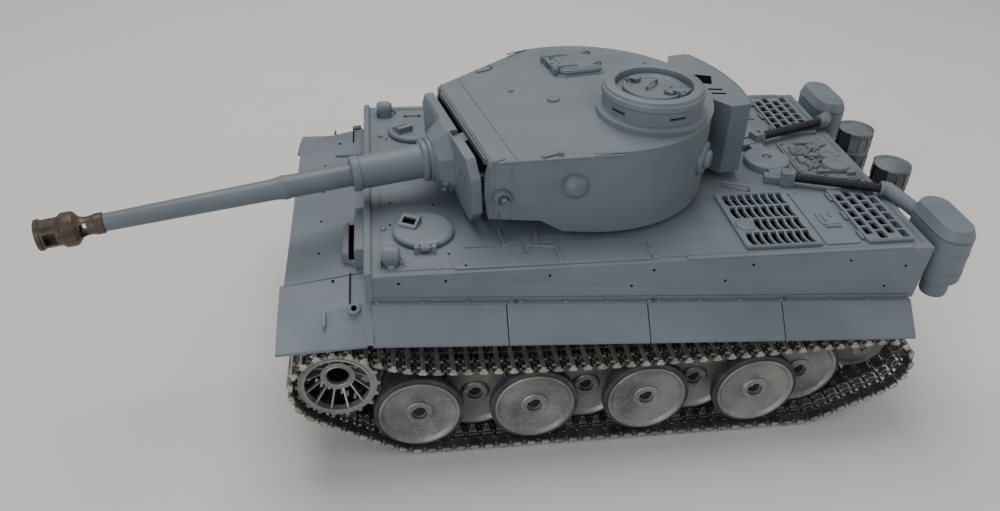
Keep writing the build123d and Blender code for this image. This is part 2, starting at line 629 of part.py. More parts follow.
SPROCKET_RINGS = (104.0, 78.0)
SPOKES = 12
TEETH = 18
for side, hand in SIDES:
    drum = Plane(origin=(SPROCKET_X, side * 62.0, SPROCKET_Z), x_dir=(1, 0, 0), z_dir=(0, side, 0))
    with BuildPart() as sprocket:
        with BuildSketch(drum):
            Circle(9.0)
        extrude(amount=36.0)
        with BuildSketch(drum.offset(36.0)):
            Circle(7.0)
            Circle(4.6, mode=Mode.SUBTRACT)
        extrude(amount=6.0)
        with BuildSketch(drum.offset(-11.0)):
            Circle(STUB_R)
        extrude(amount=11.0)
        for y in SPROCKET_RINGS:
            with BuildSketch(drum.offset(y - 62.0 - 1.6)):
                Circle(SPROCKET_R - 1.0)
                with PolarLocations(SPROCKET_R - 1.6, TEETH):
                    Rectangle(4.2, 2.2)
                Circle(SPROCKET_R - 4.4, mode=Mode.SUBTRACT)
            extrude(amount=3.2)
            with BuildSketch(drum.offset(y - 62.0 - 1.0)):
                with PolarLocations(SPROCKET_R / 2 + 2.0, SPOKES):
                    Rectangle(SPROCKET_R - 11.0, 2.0)
                Circle(9.0)
                Circle(4.6, mode=Mode.SUBTRACT)
            extrude(amount=2.0)
    keep(sprocket.part, f"{hand}_sprocket")
    with BuildPart() as idler:
        ring_section(IDLER_X, IDLER_Z, side, (
            (0.0, 62.5), (5.5, 62.5), (5.5, 78.0), (IDLER_R - 3.0, 77.0), (IDLER_R - 3.0, 73.0),
            (IDLER_R, 73.0), (IDLER_R, 86.4), (IDLER_R - 3.0, 86.4), (IDLER_R - 3.0, 83.0),
            (6.0, 82.0), (6.0, 92.0), (0.0, 92.0),
        ))
        with BuildSketch(Plane(origin=(IDLER_X, side * 53.0, IDLER_Z), x_dir=(1, 0, 0), z_dir=(0, side, 0))):
            Circle(STUB_R)
        extrude(amount=9.5)
    keep(idler.part, f"{hand}_idler")

# Inside the hull: drive units, power and electronics --------------------------------------
with BuildPart() as gearboxes:
    for side, _ in SIDES:
        with Locations((SPROCKET_X - 12, side * 36.0, SPROCKET_Z + 2)):
            Box(30.0, 24.0, 20.0)
        with Locations(Location((SPROCKET_X, side * 49.4, SPROCKET_Z), (90, 0, 0))):
            Cylinder(6.0, 2.8)
keep(gearboxes.part, "gearboxes")

with BuildPart() as drive_motors:
    for side, _ in SIDES:
        with Locations(Location((SPROCKET_X - 27, side * 34.0, SPROCKET_Z + 2), (0, -90, 0))):
            Cylinder(10.0, 38.0, align=(Align.CENTER, Align.CENTER, Align.MIN))
            Cylinder(1.6, 42.0, align=(Align.CENTER, Align.CENTER, Align.MIN))
keep(drive_motors.part, "drive_motors")

FLOOR = TUB_FLOOR + 0.8 * WALL
with BuildPart() as battery_pack:
    with Locations((-60.0, 0, FLOOR + 11.0)):
        Box(120.0, 44.0, 22.0)
    fillet(battery_pack.edges().filter_by(Axis.X), 5.0)
keep(battery_pack.part, "battery_pack")

with BuildPart() as control_board:
    with Locations((-147.0, 0, FLOOR + 6.0)):
        Box(52.0, 70.0, 1.6)
    for x, y, size, height in ((-155, 15, 14, 4), (-139, -12, 10, 3), (-157, -22, 8, 9), (-133, 22, 8, 9)):
        with Locations((x, y, FLOOR + 6.8)):
            Box(size, size, height, align=(Align.CENTER, Align.CENTER, Align.MIN))
    with Locations((-147.0, 0, FLOOR)):
        with GridLocations(44.0, 60.0, 2, 2):
            Cylinder(2.4, 5.2, align=(Align.CENTER, Align.CENTER, Align.MIN))
keep(control_board.part, "control_board")

with BuildPart() as speaker:
    with BuildSketch(Plane.XY.offset(FLOOR)):
        with Locations((-186.0, 0)):
            Rectangle(16.0, 60.0)
    extrude(amount=24.0)
    with BuildSketch(Plane.YZ.offset(-178.0)):
        with Locations((0, FLOOR + 12.0)):
            Circle(11.0)
    extrude(amount=3.0)
keep(speaker.part, "speaker")

# Turret: wall, roof, cupola, hatches, bin and fittings ------------------------------------
CUPOLA_X, CUPOLA_Y = -24.7, 32.6
LOADER_X, LOADER_Y = -8.5, -40.0
LOADER_LENGTH, LOADER_WIDTH = 27.0, 31.0
LOADER_PIN_X = LOADER_X + LOADER_LENGTH / 2 + 2.0
LOADER_PIN_Z = TURRET_ROOF + 2.9
TRUNNION_R = 2.8
BOSS_X, STUB_X = 31.5, 68.0

# Cupola steps as (base, radius, height): flange, drum, top ring
CUPOLA_STEPS = ((TURRET_ROOF, 30.5, 4.0), (172.3, 27.5, 7.7), (180.0, 28.0, 3.5), (183.5, 27.0, 2.0))
CUPOLA_FLOOR_Z = 181.2
LID_HINGE_ANGLE = 125.0
LID_PIN, LID_PIN_Z = 18.9, 185.3
lid_place = Location((CUPOLA_X, CUPOLA_Y, 0), (0, 0, LID_HINGE_ANGLE))


def wall_y(x):
    """Half width of the turret at x on its straight side."""
    reach = hypot(TURRET_FRONT_X, TURRET_FRONT_HALF)
    touch = atan2(TURRET_FRONT_HALF, TURRET_FRONT_X) + atan2((reach**2 - TURRET_R**2) ** 0.5, TURRET_R)
    return (TURRET_R - x * cos(touch)) / sin(touch)


def turret_outline(inset):
    """Horseshoe outline: an arc behind, straight sides running in to the front corners."""
    radius = TURRET_R - inset
    front = TURRET_FRONT_X - inset
    half = TURRET_FRONT_HALF - inset
    reach = hypot(front, half)
    touch = atan2(half, front) + atan2((reach**2 - radius**2) ** 0.5, radius)
    left = (radius * cos(touch), radius * sin(touch))
    right = (left[0], -left[1])
    with BuildLine() as outline:
        Line((front, -half), (front, half))
        Line((front, half), left)
        ThreePointArc(left, (-radius, 0), right)
        Line(right, (front, -half))
    make_face(outline.edges())


with BuildPart() as turret_shell:
    with BuildSketch(Plane.XY.offset(TURRET_BASE)):
        turret_outline(0)
    extrude(amount=TURRET_ROOF - TURRET_BASE)
    with BuildSketch(Plane.XY.offset(TURRET_BASE + 2.6)):
        turret_outline(TURRET_WALL)
    extrude(amount=ROOF_FRONT_Z - TURRET_BASE - 5.4, mode=Mode.SUBTRACT)
    # The roof slopes down to the front edge
    with BuildSketch(Plane.XZ):
        with BuildLine():
            Polyline(
                (ROOF_BREAK_X, TURRET_ROOF), (TURRET_FRONT_X, ROOF_FRONT_Z),
                (TURRET_FRONT_X + 20, ROOF_FRONT_Z), (TURRET_FRONT_X + 20, TURRET_ROOF + 5),
                (ROOF_BREAK_X, TURRET_ROOF + 5), close=True,
            )
        make_face()
    extrude(amount=100, both=True, mode=Mode.SUBTRACT)
    # The wall's lower edge steps up at the front
    with BuildSketch(Plane.XZ):
        with BuildLine():
            Polyline(
                (35.0, TURRET_BASE - 1), (48.0, TURRET_BASE + 6), (TURRET_FRONT_X + 20, TURRET_BASE + 6),
                (TURRET_FRONT_X + 20, TURRET_BASE - 1), close=True,
            )
        make_face()
    extrude(amount=100, both=True, mode=Mode.SUBTRACT)
    # Front opening for the gun
    with Locations((TURRET_FRONT_X, 0, 142.4)):
        Box(16.0, 2 * TURRET_FRONT_HALF - 7.0, 27.0, mode=Mode.SUBTRACT)
    # Hatch openings in the roof
    with BuildSketch(Plane.XY.offset(ROOF_FRONT_Z - 6)):
        with Locations((CUPOLA_X, CUPOLA_Y)):
            Circle(20.0)
        with Locations((LOADER_X, LOADER_Y)):
            RectangleRounded(LOADER_LENGTH - 5, LOADER_WIDTH - 5, 3.0)
    extrude(amount=20, mode=Mode.SUBTRACT)
    # Turret ring below, which turns in the hull roof
    with BuildSketch(Plane.XY.offset(DECK_Z + 0.6)):
        Circle(RING_R + 3.0)
        Circle(RING_R - 4.0, mode=Mode.SUBTRACT)
    extrude(amount=TURRET_BASE + 2.6 - DECK_Z - 0.6)
    with BuildSketch(Plane.XY.offset(DECK_Z + 0.6)):
        Circle(RING_R - 0.8)
        Circle(RING_R - 4.0, mode=Mode.SUBTRACT)
    extrude(amount=-7.0)
    # Frame and hinge lugs of the loader's hatch
    with BuildSketch(Plane.XY.offset(TURRET_ROOF - 0.2)):
        with Locations((LOADER_X, LOADER_Y)):
            RectangleRounded(LOADER_LENGTH + 3, LOADER_WIDTH + 3, 5.0)
            RectangleRounded(LOADER_LENGTH - 5, LOADER_WIDTH - 5, 3.0, mode=Mode.SUBTRACT)
    extrude(amount=0.9)
    for y in (LOADER_Y - 5.5, LOADER_Y + 5.5):
        with Locations((LOADER_PIN_X, y, TURRET_ROOF - 0.6)):
            Box(3.0, 2.2, 4.6, align=(Align.CENTER, Align.CENTER, Align.MIN))
    with Locations(Location((LOADER_PIN_X, LOADER_Y, LOADER_PIN_Z), (90, 0, 0))):
        Cylinder(HATCH_PIN_R, 11.0)
    # Bearings for the gun's trunnions hang from the roof inside
    with Locations((TRUNNION_X, 40.0, TRUNNION_Z + 7), (TRUNNION_X, -40.0, TRUNNION_Z + 7)):
        Box(8.0, 3.0, 24.0)
    with Locations(Location((TRUNNION_X, 0, TRUNNION_Z), (90, 0, 0))):
        Cylinder(TRUNNION_R + 0.5, 90.0, mode=Mode.SUBTRACT)
keep(turned(turret_shell.part), "turret_shell")

with BuildPart() as cupola:
    for z, radius, height in CUPOLA_STEPS:
        with BuildSketch(Plane.XY.offset(z)):
            with Locations((CUPOLA_X, CUPOLA_Y)):
                Circle(radius)
        extrude(amount=height)
    with BuildSketch(Plane.XY.offset(CUPOLA_FLOOR_Z)):
        with Locations((CUPOLA_X, CUPOLA_Y)):
            Circle(21.0)
    extrude(amount=10, mode=Mode.SUBTRACT)
    with BuildSketch(Plane.XY.offset(TURRET_ROOF)):
        with Locations((CUPOLA_X, CUPOLA_Y)):
            Circle(15.0)
    extrude(amount=20, mode=Mode.SUBTRACT)
    # Vision slits
    with Locations((CUPOLA_X, CUPOLA_Y, 176.2)):
        with PolarLocations(28.0, 5, start_angle=21.0):
            Box(3.0, 9.0, 1.2, mode=Mode.SUBTRACT)
    # Hinge lugs and pin of the lid
    with Locations(lid_place):
        with Locations((LID_PIN, 3.4, LID_PIN_Z - 2.2), (LID_PIN, -3.4, LID_PIN_Z - 2.2)):
            Box(2.4, 1.6, 6.2)
        with Locations(Location((LID_PIN, 0, LID_PIN_Z), (90, 0, 0))):
            Cylinder(HATCH_PIN_R, 6.8)
keep(turned(cupola.part), "cupola")

with BuildPart() as commander_hatch:
    with Locations(lid_place):
        with Locations((0, 0, CUPOLA_FLOOR_Z + 0.3)):
            Cylinder(17.0, 2.5, align=(Align.CENTER, Align.CENTER, Align.MIN))
        with Locations((LID_PIN - 3.4, 0, LID_PIN_Z - 0.8)):
            Box(6.8, 4.4, 2.4)
        with Locations(Location((LID_PIN, 0, LID_PIN_Z), (90, 0, 0))):
            Cylinder(1.5, 4.4)
            Cylinder(HATCH_PIN_R + 0.3, 5.0, mode=Mode.SUBTRACT)
        # Handle across the middle and the catch opposite the hinge
        with Locations((-1.0, 0, CUPOLA_FLOOR_Z + 3.6)):
            Box(1.6, 9.0, 1.8)
        with Locations((-13.0, 0, CUPOLA_FLOOR_Z + 3.6)):
            Box(6.0, 2.0, 1.8)
keep(turned(commander_hatch.part), "commander_hatch")

with BuildPart() as loader_hatch:
    with BuildSketch(Plane.XY.offset(TURRET_ROOF + 1.0)):
        with Locations((LOADER_X, LOADER_Y)):
            RectangleRounded(LOADER_LENGTH, LOADER_WIDTH, 4.5)
    extrude(amount=2.4)
    with Locations(((LOADER_PIN_X + LOADER_X + LOADER_LENGTH / 2 - 8) / 2, LOADER_Y, LOADER_PIN_Z - 0.4)):
        Box(LOADER_PIN_X - LOADER_X - LOADER_LENGTH / 2 + 8, 7.6, 2.4)
    with Locations(Location((LOADER_PIN_X, LOADER_Y, LOADER_PIN_Z), (90, 0, 0))):
        Cylinder(1.6, 7.6)
        Cylinder(HATCH_PIN_R + 0.3, 9.0, mode=Mode.SUBTRACT)
    for y in (LOADER_Y - 11.0, LOADER_Y + 11.0):
        with Locations((LOADER_X - 11.0, y, TURRET_ROOF + 4.0)):
            Box(4.0, 2.0, 1.6)
keep(turned(loader_hatch.part), "loader_hatch")

# Stowage bin behind the turret: its front wall follows the turret, and leaves it at the ends
BIN_TOP, BIN_BASE = 165.0, 121.6
BIN_WALL = 1.6
BIN_LEFT, BIN_RIGHT = 33.0, -45.0
with BuildPart() as stowage_bin:
    for inset, base in ((0.0, BIN_BASE), (BIN_WALL, BIN_BASE + BIN_WALL)):
        front = -60.0 - 1.1 * inset
        end_x = -77.0 - 0.9 * inset
        rear_x = -89.6 + inset
        left = BIN_LEFT - inset
        right = BIN_RIGHT + inset
        with BuildSketch(Plane.XY.offset(base)):
            with BuildLine() as outline:
                Polyline((front, 0.0), (end_x, left), (rear_x, left))
                ThreePointArc((rear_x, left), (-97.0 + inset, -6.0), (rear_x, right))
                Polyline((rear_x, right), (end_x, right), (front, -12.0), (front, 0.0))
            make_face(outline.edges())
            Circle(TURRET_R + 2.4 + inset, mode=Mode.SUBTRACT)
        extrude(amount=BIN_TOP - BIN_BASE - 2 * inset, mode=Mode.ADD if inset == 0.0 else Mode.SUBTRACT)
    # Two mounting bosses reach the turret wall
    for angle in (165.0, 195.0):
        with Locations(Location((0, 0, 144.0), (0, 0, angle))):
            with Locations((TURRET_R + 1.2, 0, 0)):
                Box(3.4, 8.0, 16.0)
    with BuildSketch(Plane.XY.offset(BIN_BASE - 1)):
        Circle(TURRET_R)
    extrude(amount=60, mode=Mode.SUBTRACT)
keep(turned(stowage_bin.part), "stowage_bin")

# Small fittings on the turret: pistol ports, bosses, launcher stubs, sight notch ------------
with BuildPart() as turret_fittings:
    for angle in (135.0, -135.0):
        with Locations(Location((0, 0, 145.0), (0, 0, angle))):
            with Locations(Location((TURRET_R - 0.6, 0, 0), (0, 90, 0))):
                Cylinder(9.0, 3.6, align=(Align.CENTER, Align.CENTER, Align.MIN))
                Cylinder(5.0, 5.4, align=(Align.CENTER, Align.CENTER, Align.MIN))
    for side, _ in SIDES:
        with Locations(Location((BOSS_X, side * wall_y(BOSS_X), 148.0), (-90 * side, 0, 0))):
            Cone(7.4, 3.0, 4.4, align=(Align.CENTER, Align.CENTER, Align.MIN))
        with Locations(Location((STUB_X, side * wall_y(STUB_X), 140.0), (-90 * side, 0, 0))):
            Cylinder(4.5, 3.6, align=(Align.CENTER, Align.CENTER, Align.MIN))
            Cylinder(1.8, 6.4, align=(Align.CENTER, Align.CENTER, Align.MIN))
    with BuildSketch(Plane.XY.offset(TURRET_BASE)):
        turret_outline(0.0)
        Circle(TURRET_R + 20, mode=Mode.INTERSECT)
    extrude(amount=60, mode=Mode.SUBTRACT)
keep(turned(turret_fittings.part), "turret_fittings")

# Gun: mantlet with its sleeve, sliding barrel and muzzle brake -----------------------------
MANTLET_BACK, MANTLET_FRONT, MANTLET_HALF = 78.2, 84.0, 50.0
MANTLET_BASE, MANTLET_TOP = 122.6, 161.0
SLEEVE_END = 138.0
BORE_R = 6.9
BARREL_STEP, BARREL_END, MUZZLE_X = 174.0, 267.0, 299.5
bore = Plane(origin=(0, 0, TRUNNION_Z), x_dir=(0, 1, 0), z_dir=(1, 0, 0))


def along_bore(points):
    """Turn a half-section, as (distance ahead, radius), about the axis of the bore."""
    with BuildSketch(Plane.XZ) as section:
        with BuildLine():
            Polyline(*((x, TRUNNION_Z + radius) for x, radius in points), close=True)
        make_face()
    revolve(section.sketch, axis=Axis((0, 0, TRUNNION_Z), (1, 0, 0)))


with BuildPart() as mantlet:
    with BuildSketch(Plane.YZ.offset(MANTLET_BACK)):
        with Locations((0, (MANTLET_BASE + MANTLET_TOP) / 2)):
            Rectangle(2 * MANTLET_HALF, MANTLET_TOP - MANTLET_BASE)
    extrude(amount=MANTLET_FRONT - MANTLET_BACK)
    chamfer(mantlet.faces().sort_by(Axis.X)[-1].edges(), 2.2)
    along_bore(((80.0, 0.0), (80.0, 21.0), (84.0, 19.5), (90.0, 18.0), (90.0, 10.5), (96.0, 10.5),
                (96.0, 9.5), (SLEEVE_END, 8.6), (SLEEVE_END, 0.0)))
    # Carriage arms and trunnions
    for side, _ in SIDES:
        with Locations((TRUNNION_X + 4.6, side * 34.0, TRUNNION_Z)):
            Box(15.4, 4.0, 8.0)
        with Locations(Location((TRUNNION_X, side * 32.0, TRUNNION_Z), (-90 * side, 0, 0))):
            Cylinder(TRUNNION_R, 11.5, align=(Align.CENTER, Align.CENTER, Align.MIN))
    # Sight openings, the coaxial gun's opening and the bore
    with Locations(
        Location((MANTLET_FRONT - 4, 30.0, 146.0), (0, 90, 0)),
        Location((MANTLET_FRONT - 4, 38.0, 146.0), (0, 90, 0)),
        Location((MANTLET_FRONT - 4, -31.0, 143.0), (0, 90, 0)),
    ):
        Cylinder(2.2, 12, mode=Mode.SUBTRACT)
    with Locations(Location((0, 0, TRUNNION_Z), (0, 90, 0))):
        Cylinder(BORE_R, 400, mode=Mode.SUBTRACT)
keep(turned(mantlet.part, GUN_DROOP), "mantlet")

with BuildPart() as gun_barrel:
    along_bore(((56.0, 0.0), (56.0, 6.4), (BARREL_STEP, 6.4), (BARREL_STEP + 7, 5.7), (BARREL_END, 4.7),
                (BARREL_END, 2.6), (150.0, 2.6), (150.0, 0.0)))
    with Locations((43.0, 0, TRUNNION_Z)):
        Box(28.0, 15.0, 18.0)
keep(turned(gun_barrel.part, GUN_DROOP), "gun_barrel")

with BuildPart() as muzzle_brake:
    along_bore(((BARREL_END, 3.4), (BARREL_END, 5.4), (272.0, 5.4), (274.0, 4.9), (278.0, 4.9),
                (280.5, 8.6), (282.0, 9.1), (287.5, 9.1), (289.0, 8.0), (MUZZLE_X - 1.0, 8.0),
                (MUZZLE_X, 7.2), (MUZZLE_X, 3.4)))
    for x in (277.6, 292.2):
        with Locations((x, 0, TRUNNION_Z)):
            Box(4.4, 24.0, 7.0, mode=Mode.SUBTRACT)
keep(turned(muzzle_brake.part, GUN_DROOP), "muzzle_brake")

# Motors that turn the turret and raise the gun --------------------------------------------
with BuildPart() as traverse_motor:
    with Locations((RING_X + 68.0, 0, DECK_Z - WALL)):
        Box(22.0, 20.0, 8.0, align=(Align.CENTER, Align.CENTER, Align.MAX))
        Cylinder(8.0, 30.0, align=(Align.CENTER, Align.CENTER, Align.MAX))
keep(traverse_motor.part, "traverse_motor")

with BuildPart() as elevation_motor:
    with Locations((20.0, -24.0, TURRET_BASE + 2.6)):
        Box(24.0, 14.0, 16.0, align=(Align.CENTER, Align.CENTER, Align.MIN))
    with Locations(Location((8.0, -24.0, TURRET_BASE + 11.0), (0, -90, 0))):
        Cylinder(6.5, 20.0, align=(Align.CENTER, Align.CENTER, Align.MIN))
keep(turned(elevation_motor.part), "elevation_motor")
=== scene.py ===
"""Looks of the radio-controlled tank model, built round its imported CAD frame.

Row frame: +X forward, +Y to the crew's left, +Z up. Shapes are drawn in millimetres and
turned into metres when each piece is made.
"""
import json
import random
from math import atan2, cos, hypot, pi, radians, sin

import bmesh
import bpy
from mathutils import Matrix, Vector


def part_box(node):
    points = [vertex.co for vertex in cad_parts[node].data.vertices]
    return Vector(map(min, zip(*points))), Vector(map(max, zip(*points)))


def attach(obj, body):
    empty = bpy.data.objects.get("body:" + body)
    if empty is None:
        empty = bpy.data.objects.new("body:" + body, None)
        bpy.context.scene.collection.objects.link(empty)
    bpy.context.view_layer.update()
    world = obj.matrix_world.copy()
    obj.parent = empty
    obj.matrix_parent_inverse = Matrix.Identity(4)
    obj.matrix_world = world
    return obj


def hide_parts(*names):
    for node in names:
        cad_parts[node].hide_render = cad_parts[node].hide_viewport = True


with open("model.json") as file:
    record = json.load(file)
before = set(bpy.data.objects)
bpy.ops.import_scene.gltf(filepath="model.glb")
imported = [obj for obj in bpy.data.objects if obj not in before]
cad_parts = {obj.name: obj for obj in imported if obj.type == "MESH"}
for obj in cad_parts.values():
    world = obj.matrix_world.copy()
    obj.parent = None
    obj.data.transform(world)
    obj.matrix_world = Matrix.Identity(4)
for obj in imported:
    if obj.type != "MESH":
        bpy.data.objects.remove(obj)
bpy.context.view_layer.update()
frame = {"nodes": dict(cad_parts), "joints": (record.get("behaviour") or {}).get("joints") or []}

MM = 0.001
SIGNS = (1, -1)
SIDES = ((1, "left"), (-1, "right"))
X, Y, Z = Vector((1, 0, 0)), Vector((0, 1, 0)), Vector((0, 0, 1))

# Places read from the frame ---------------------------------------------------------------
JOINTS = {joint["name"]: joint for joint in frame["joints"]}


def joint_mm(name):
    """A joint's position and axis, in millimetres."""
    joint = JOINTS[name]
    return Vector(joint.get("pos_m", (0, 0, 0))) / MM, Vector(joint["axis"])


def box_mm(node):
    """Lowest and highest corner of a CAD node, in millimetres."""
    low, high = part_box(node)
    return low / MM, high / MM


RING = joint_mm("turret_traverse")[0]
TRUNNION, UP_AXIS = joint_mm("gun_elevation")
TURRET_YAW = atan2(UP_AXIS.x, -UP_AXIS.y)
TURRET = Matrix.Translation((RING.x, RING.y, 0)) @ Matrix.Rotation(TURRET_YAW, 4, "Z")
TRUNNION_LOCAL = TURRET.inverted() @ TRUNNION
BORE_DIRECTION = Vector(JOINTS["barrel_recoil"]["axis"])
GUN_DROOP = -atan2(BORE_DIRECTION.z, hypot(BORE_DIRECTION.x, BORE_DIRECTION.y))
GUN = (TURRET @ Matrix.Translation(TRUNNION_LOCAL) @ Matrix.Rotation(GUN_DROOP, 4, "Y")
       @ Matrix.Translation(-TRUNNION_LOCAL))
DECK_Z = box_mm("deck_grilles")[0].z
DECK_FRONT_X = box_mm("driver_visor")[0].x


# Mesh helpers -----------------------------------------------------------------------------
def frame_of(axis, about=None):
    """Rotation that takes +Z to axis; about picks the direction of the turned +X."""
    axis = Vector(axis).normalized()
    about = Vector(about) if about is not None else (X if abs(axis.x) < 0.9 else Y)
    side = (about - axis * about.dot(axis)).normalized()
    return Matrix((side, axis.cross(side), axis)).transposed().to_4x4()


def polar(radius, angle, along=0.0):
    """A point at an angle round the Z axis."""
    return Vector((radius * cos(angle), radius * sin(angle), along))


def round_axis(centre, axis, radius, angle, along=0.0):
    """A point at an angle round any axis through centre."""
    return Vector(centre) + frame_of(axis).to_3x3() @ polar(radius, angle, along)


def across(y, side=1):
    """Place of an outline drawn in x and z, which is extruded sideways from y."""
    return Matrix(((1, 0, 0, 0), (0, 0, side, y), (0, 1, 0, 0), (0, 0, 0, 1)))


def placed(centre, turn):
    """Place of a shape that is turned and then moved to centre."""
    return Matrix.Translation(centre) @ (turn.to_4x4() if turn else Matrix())


def add_box(bm, centre, size, turn=None):
    """A box by its centre and size, turned by a rotation matrix."""
    made = bmesh.ops.create_cube(bm, size=1.0)["verts"]
    bmesh.ops.transform(bm, matrix=placed(centre, turn) @ Matrix.Diagonal((*size, 1)), verts=made)
    return made


def add_wedge(bm, centre, size, top, turn=None):
    """A box whose top face is scaled by top = (x share, y share)."""
    made = add_box(bm, (0, 0, 0), size)
    for vert in made:
        if vert.co.z > 0:
            vert.co.x *= top[0]
            vert.co.y *= top[1]
    bmesh.ops.transform(bm, matrix=placed(centre, turn), verts=made)


def add_rod(bm, start, axis, length, radius, end_radius=None, sides=24):
    """A cylinder or cone from start along axis."""
    end_radius = radius if end_radius is None else end_radius
    made = bmesh.ops.create_cone(bm, cap_ends=True, segments=sides, radius1=radius,
                                 radius2=end_radius, depth=length)["verts"]
    axis = Vector(axis).normalized()
    place = Matrix.Translation(Vector(start) + axis * length / 2) @ frame_of(axis)
    bmesh.ops.transform(bm, matrix=place, verts=made)


def add_lathe(bm, profile, origin, axis, steps=64, closed=False):
    """Turn a profile of (radius, distance along the axis) about the axis."""
    place = Matrix.Translation(origin) @ frame_of(axis)
    rings = []
    for radius, along in profile:
        if radius == 0:
            rings.append([bm.verts.new(place @ Vector((0, 0, along)))])
            continue
        rings.append([bm.verts.new(place @ polar(radius, 2 * pi * i / steps, along)) for i in range(steps)])
    pairs = list(zip(rings, rings[1:])) + ([(rings[-1], rings[0])] if closed else [])
    for low, high in pairs:
        for i in range(steps):
            j = (i + 1) % steps
            corners = [low[i % len(low)], low[j % len(low)], high[j % len(high)], high[i % len(high)]]
            corners = [v for k, v in enumerate(corners) if v not in corners[:k]]
            if len(corners) > 2:
                bm.faces.new(corners)


def add_prism(bm, outline, place, depth):
    """Extrude a closed 2-D outline; place takes (u, v, w) to the row frame, w runs 0 to depth."""
    low = [bm.verts.new(place @ Vector((u, v, 0))) for u, v in outline]
    high = [bm.verts.new(place @ Vector((u, v, depth))) for u, v in outline]
    bm.faces.new(list(reversed(low)))
    bm.faces.new(high)
    for i, j in zip(range(len(outline)), [*range(1, len(outline)), 0]):
        bm.faces.new((low[i], low[j], high[j], high[i]))


def add_tube(bm, points, radius, sides=12, radii=None):
    """A round tube along points; radii may give each point its own radius."""
    points = [Vector(p) for p in points]
    rings = []
    about = None
    for i, point in enumerate(points):
        ahead = (points[min(i + 1, len(points) - 1)] - points[max(i - 1, 0)]).normalized()
        turn = frame_of(ahead, about)
        about = turn.to_3x3() @ X
        size = radii[i] if radii else radius
        rings.append([bm.verts.new(point + turn.to_3x3() @ polar(size, 2 * pi * k / sides))
                      for k in range(sides)])
    bm.faces.new(list(reversed(rings[0])))
    bm.faces.new(rings[-1])
    for low, high in zip(rings, rings[1:]):
        for k in range(sides):
            m = (k + 1) % sides
            bm.faces.new((low[k], low[m], high[m], high[k]))


def copy_of(node):
    """A CAD node's surface in millimetres, with flat areas joined into single faces."""
    bm = bmesh.new()
    bm.from_mesh(frame["nodes"][node].data)
    bmesh.ops.scale(bm, vec=(1 / MM,) * 3, verts=bm.verts)
    bmesh.ops.remove_doubles(bm, verts=bm.verts, dist=0.002)
    bmesh.ops.dissolve_limit(bm, angle_limit=radians(1.0), verts=bm.verts, edges=bm.edges)
    return bm


def soften(bm, width, angle=35.0, segments=2):
    """Round every edge sharper than angle."""
    edges = [e for e in bm.edges if len(e.link_faces) == 2 and e.calc_face_angle(0) > radians(angle)]
    bmesh.ops.bevel(bm, geom=edges, offset=width, segments=segments, affect="EDGES", profile=0.6,
                    clamp_overlap=True)


def new_object(name, data):
    """A new object in the scene."""
    obj = bpy.data.objects.new(name, data)
    bpy.context.scene.collection.objects.link(obj)
    return obj


# Angle above which an edge is shaded sharp, on turned shapes and on flat-sided mouldings
ROUND_SHARP, FLAT_SHARP = 32.0, 14.0
# A flat-sided moulding's faces above this area, in square metres, are shaded flat
FLAT_AREA = 1.5e-5
TO_METRES = Matrix.Diagonal((MM, MM, MM, 1))


def make(name, bm, body, slot, material, place=None, replaces=(), bevel=0.0, sharp=ROUND_SHARP):
    """Finish a mesh as a piece that rides on a body."""
    bmesh.ops.recalc_face_normals(bm, faces=bm.faces)
    if bevel:
        soften(bm, bevel)
    bmesh.ops.transform(bm, matrix=TO_METRES @ (place or Matrix()), verts=bm.verts)
    mesh = bpy.data.meshes.new(name)
    bm.to_mesh(mesh)
    bm.free()
    for polygon in mesh.polygons:
        polygon.use_smooth = sharp != FLAT_SHARP or polygon.area < FLAT_AREA
    mesh.set_sharp_from_angle(angle=radians(sharp))
    piece = new_object(name, mesh)
    mesh.materials.append(material)
    shading = piece.modifiers.new("flat_panels", "WEIGHTED_NORMAL")
    shading.keep_sharp = True
    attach(piece, body)
    if replaces:
        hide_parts(*replaces)
    return piece


def finish_node(node, material):
    """Give a CAD node that stays its finished material."""
    obj = frame["nodes"][node]
    if not obj.material_slots:
        obj.data.materials.append(material)
    for slot in obj.material_slots:
        slot.link = "OBJECT"
        slot.material = material


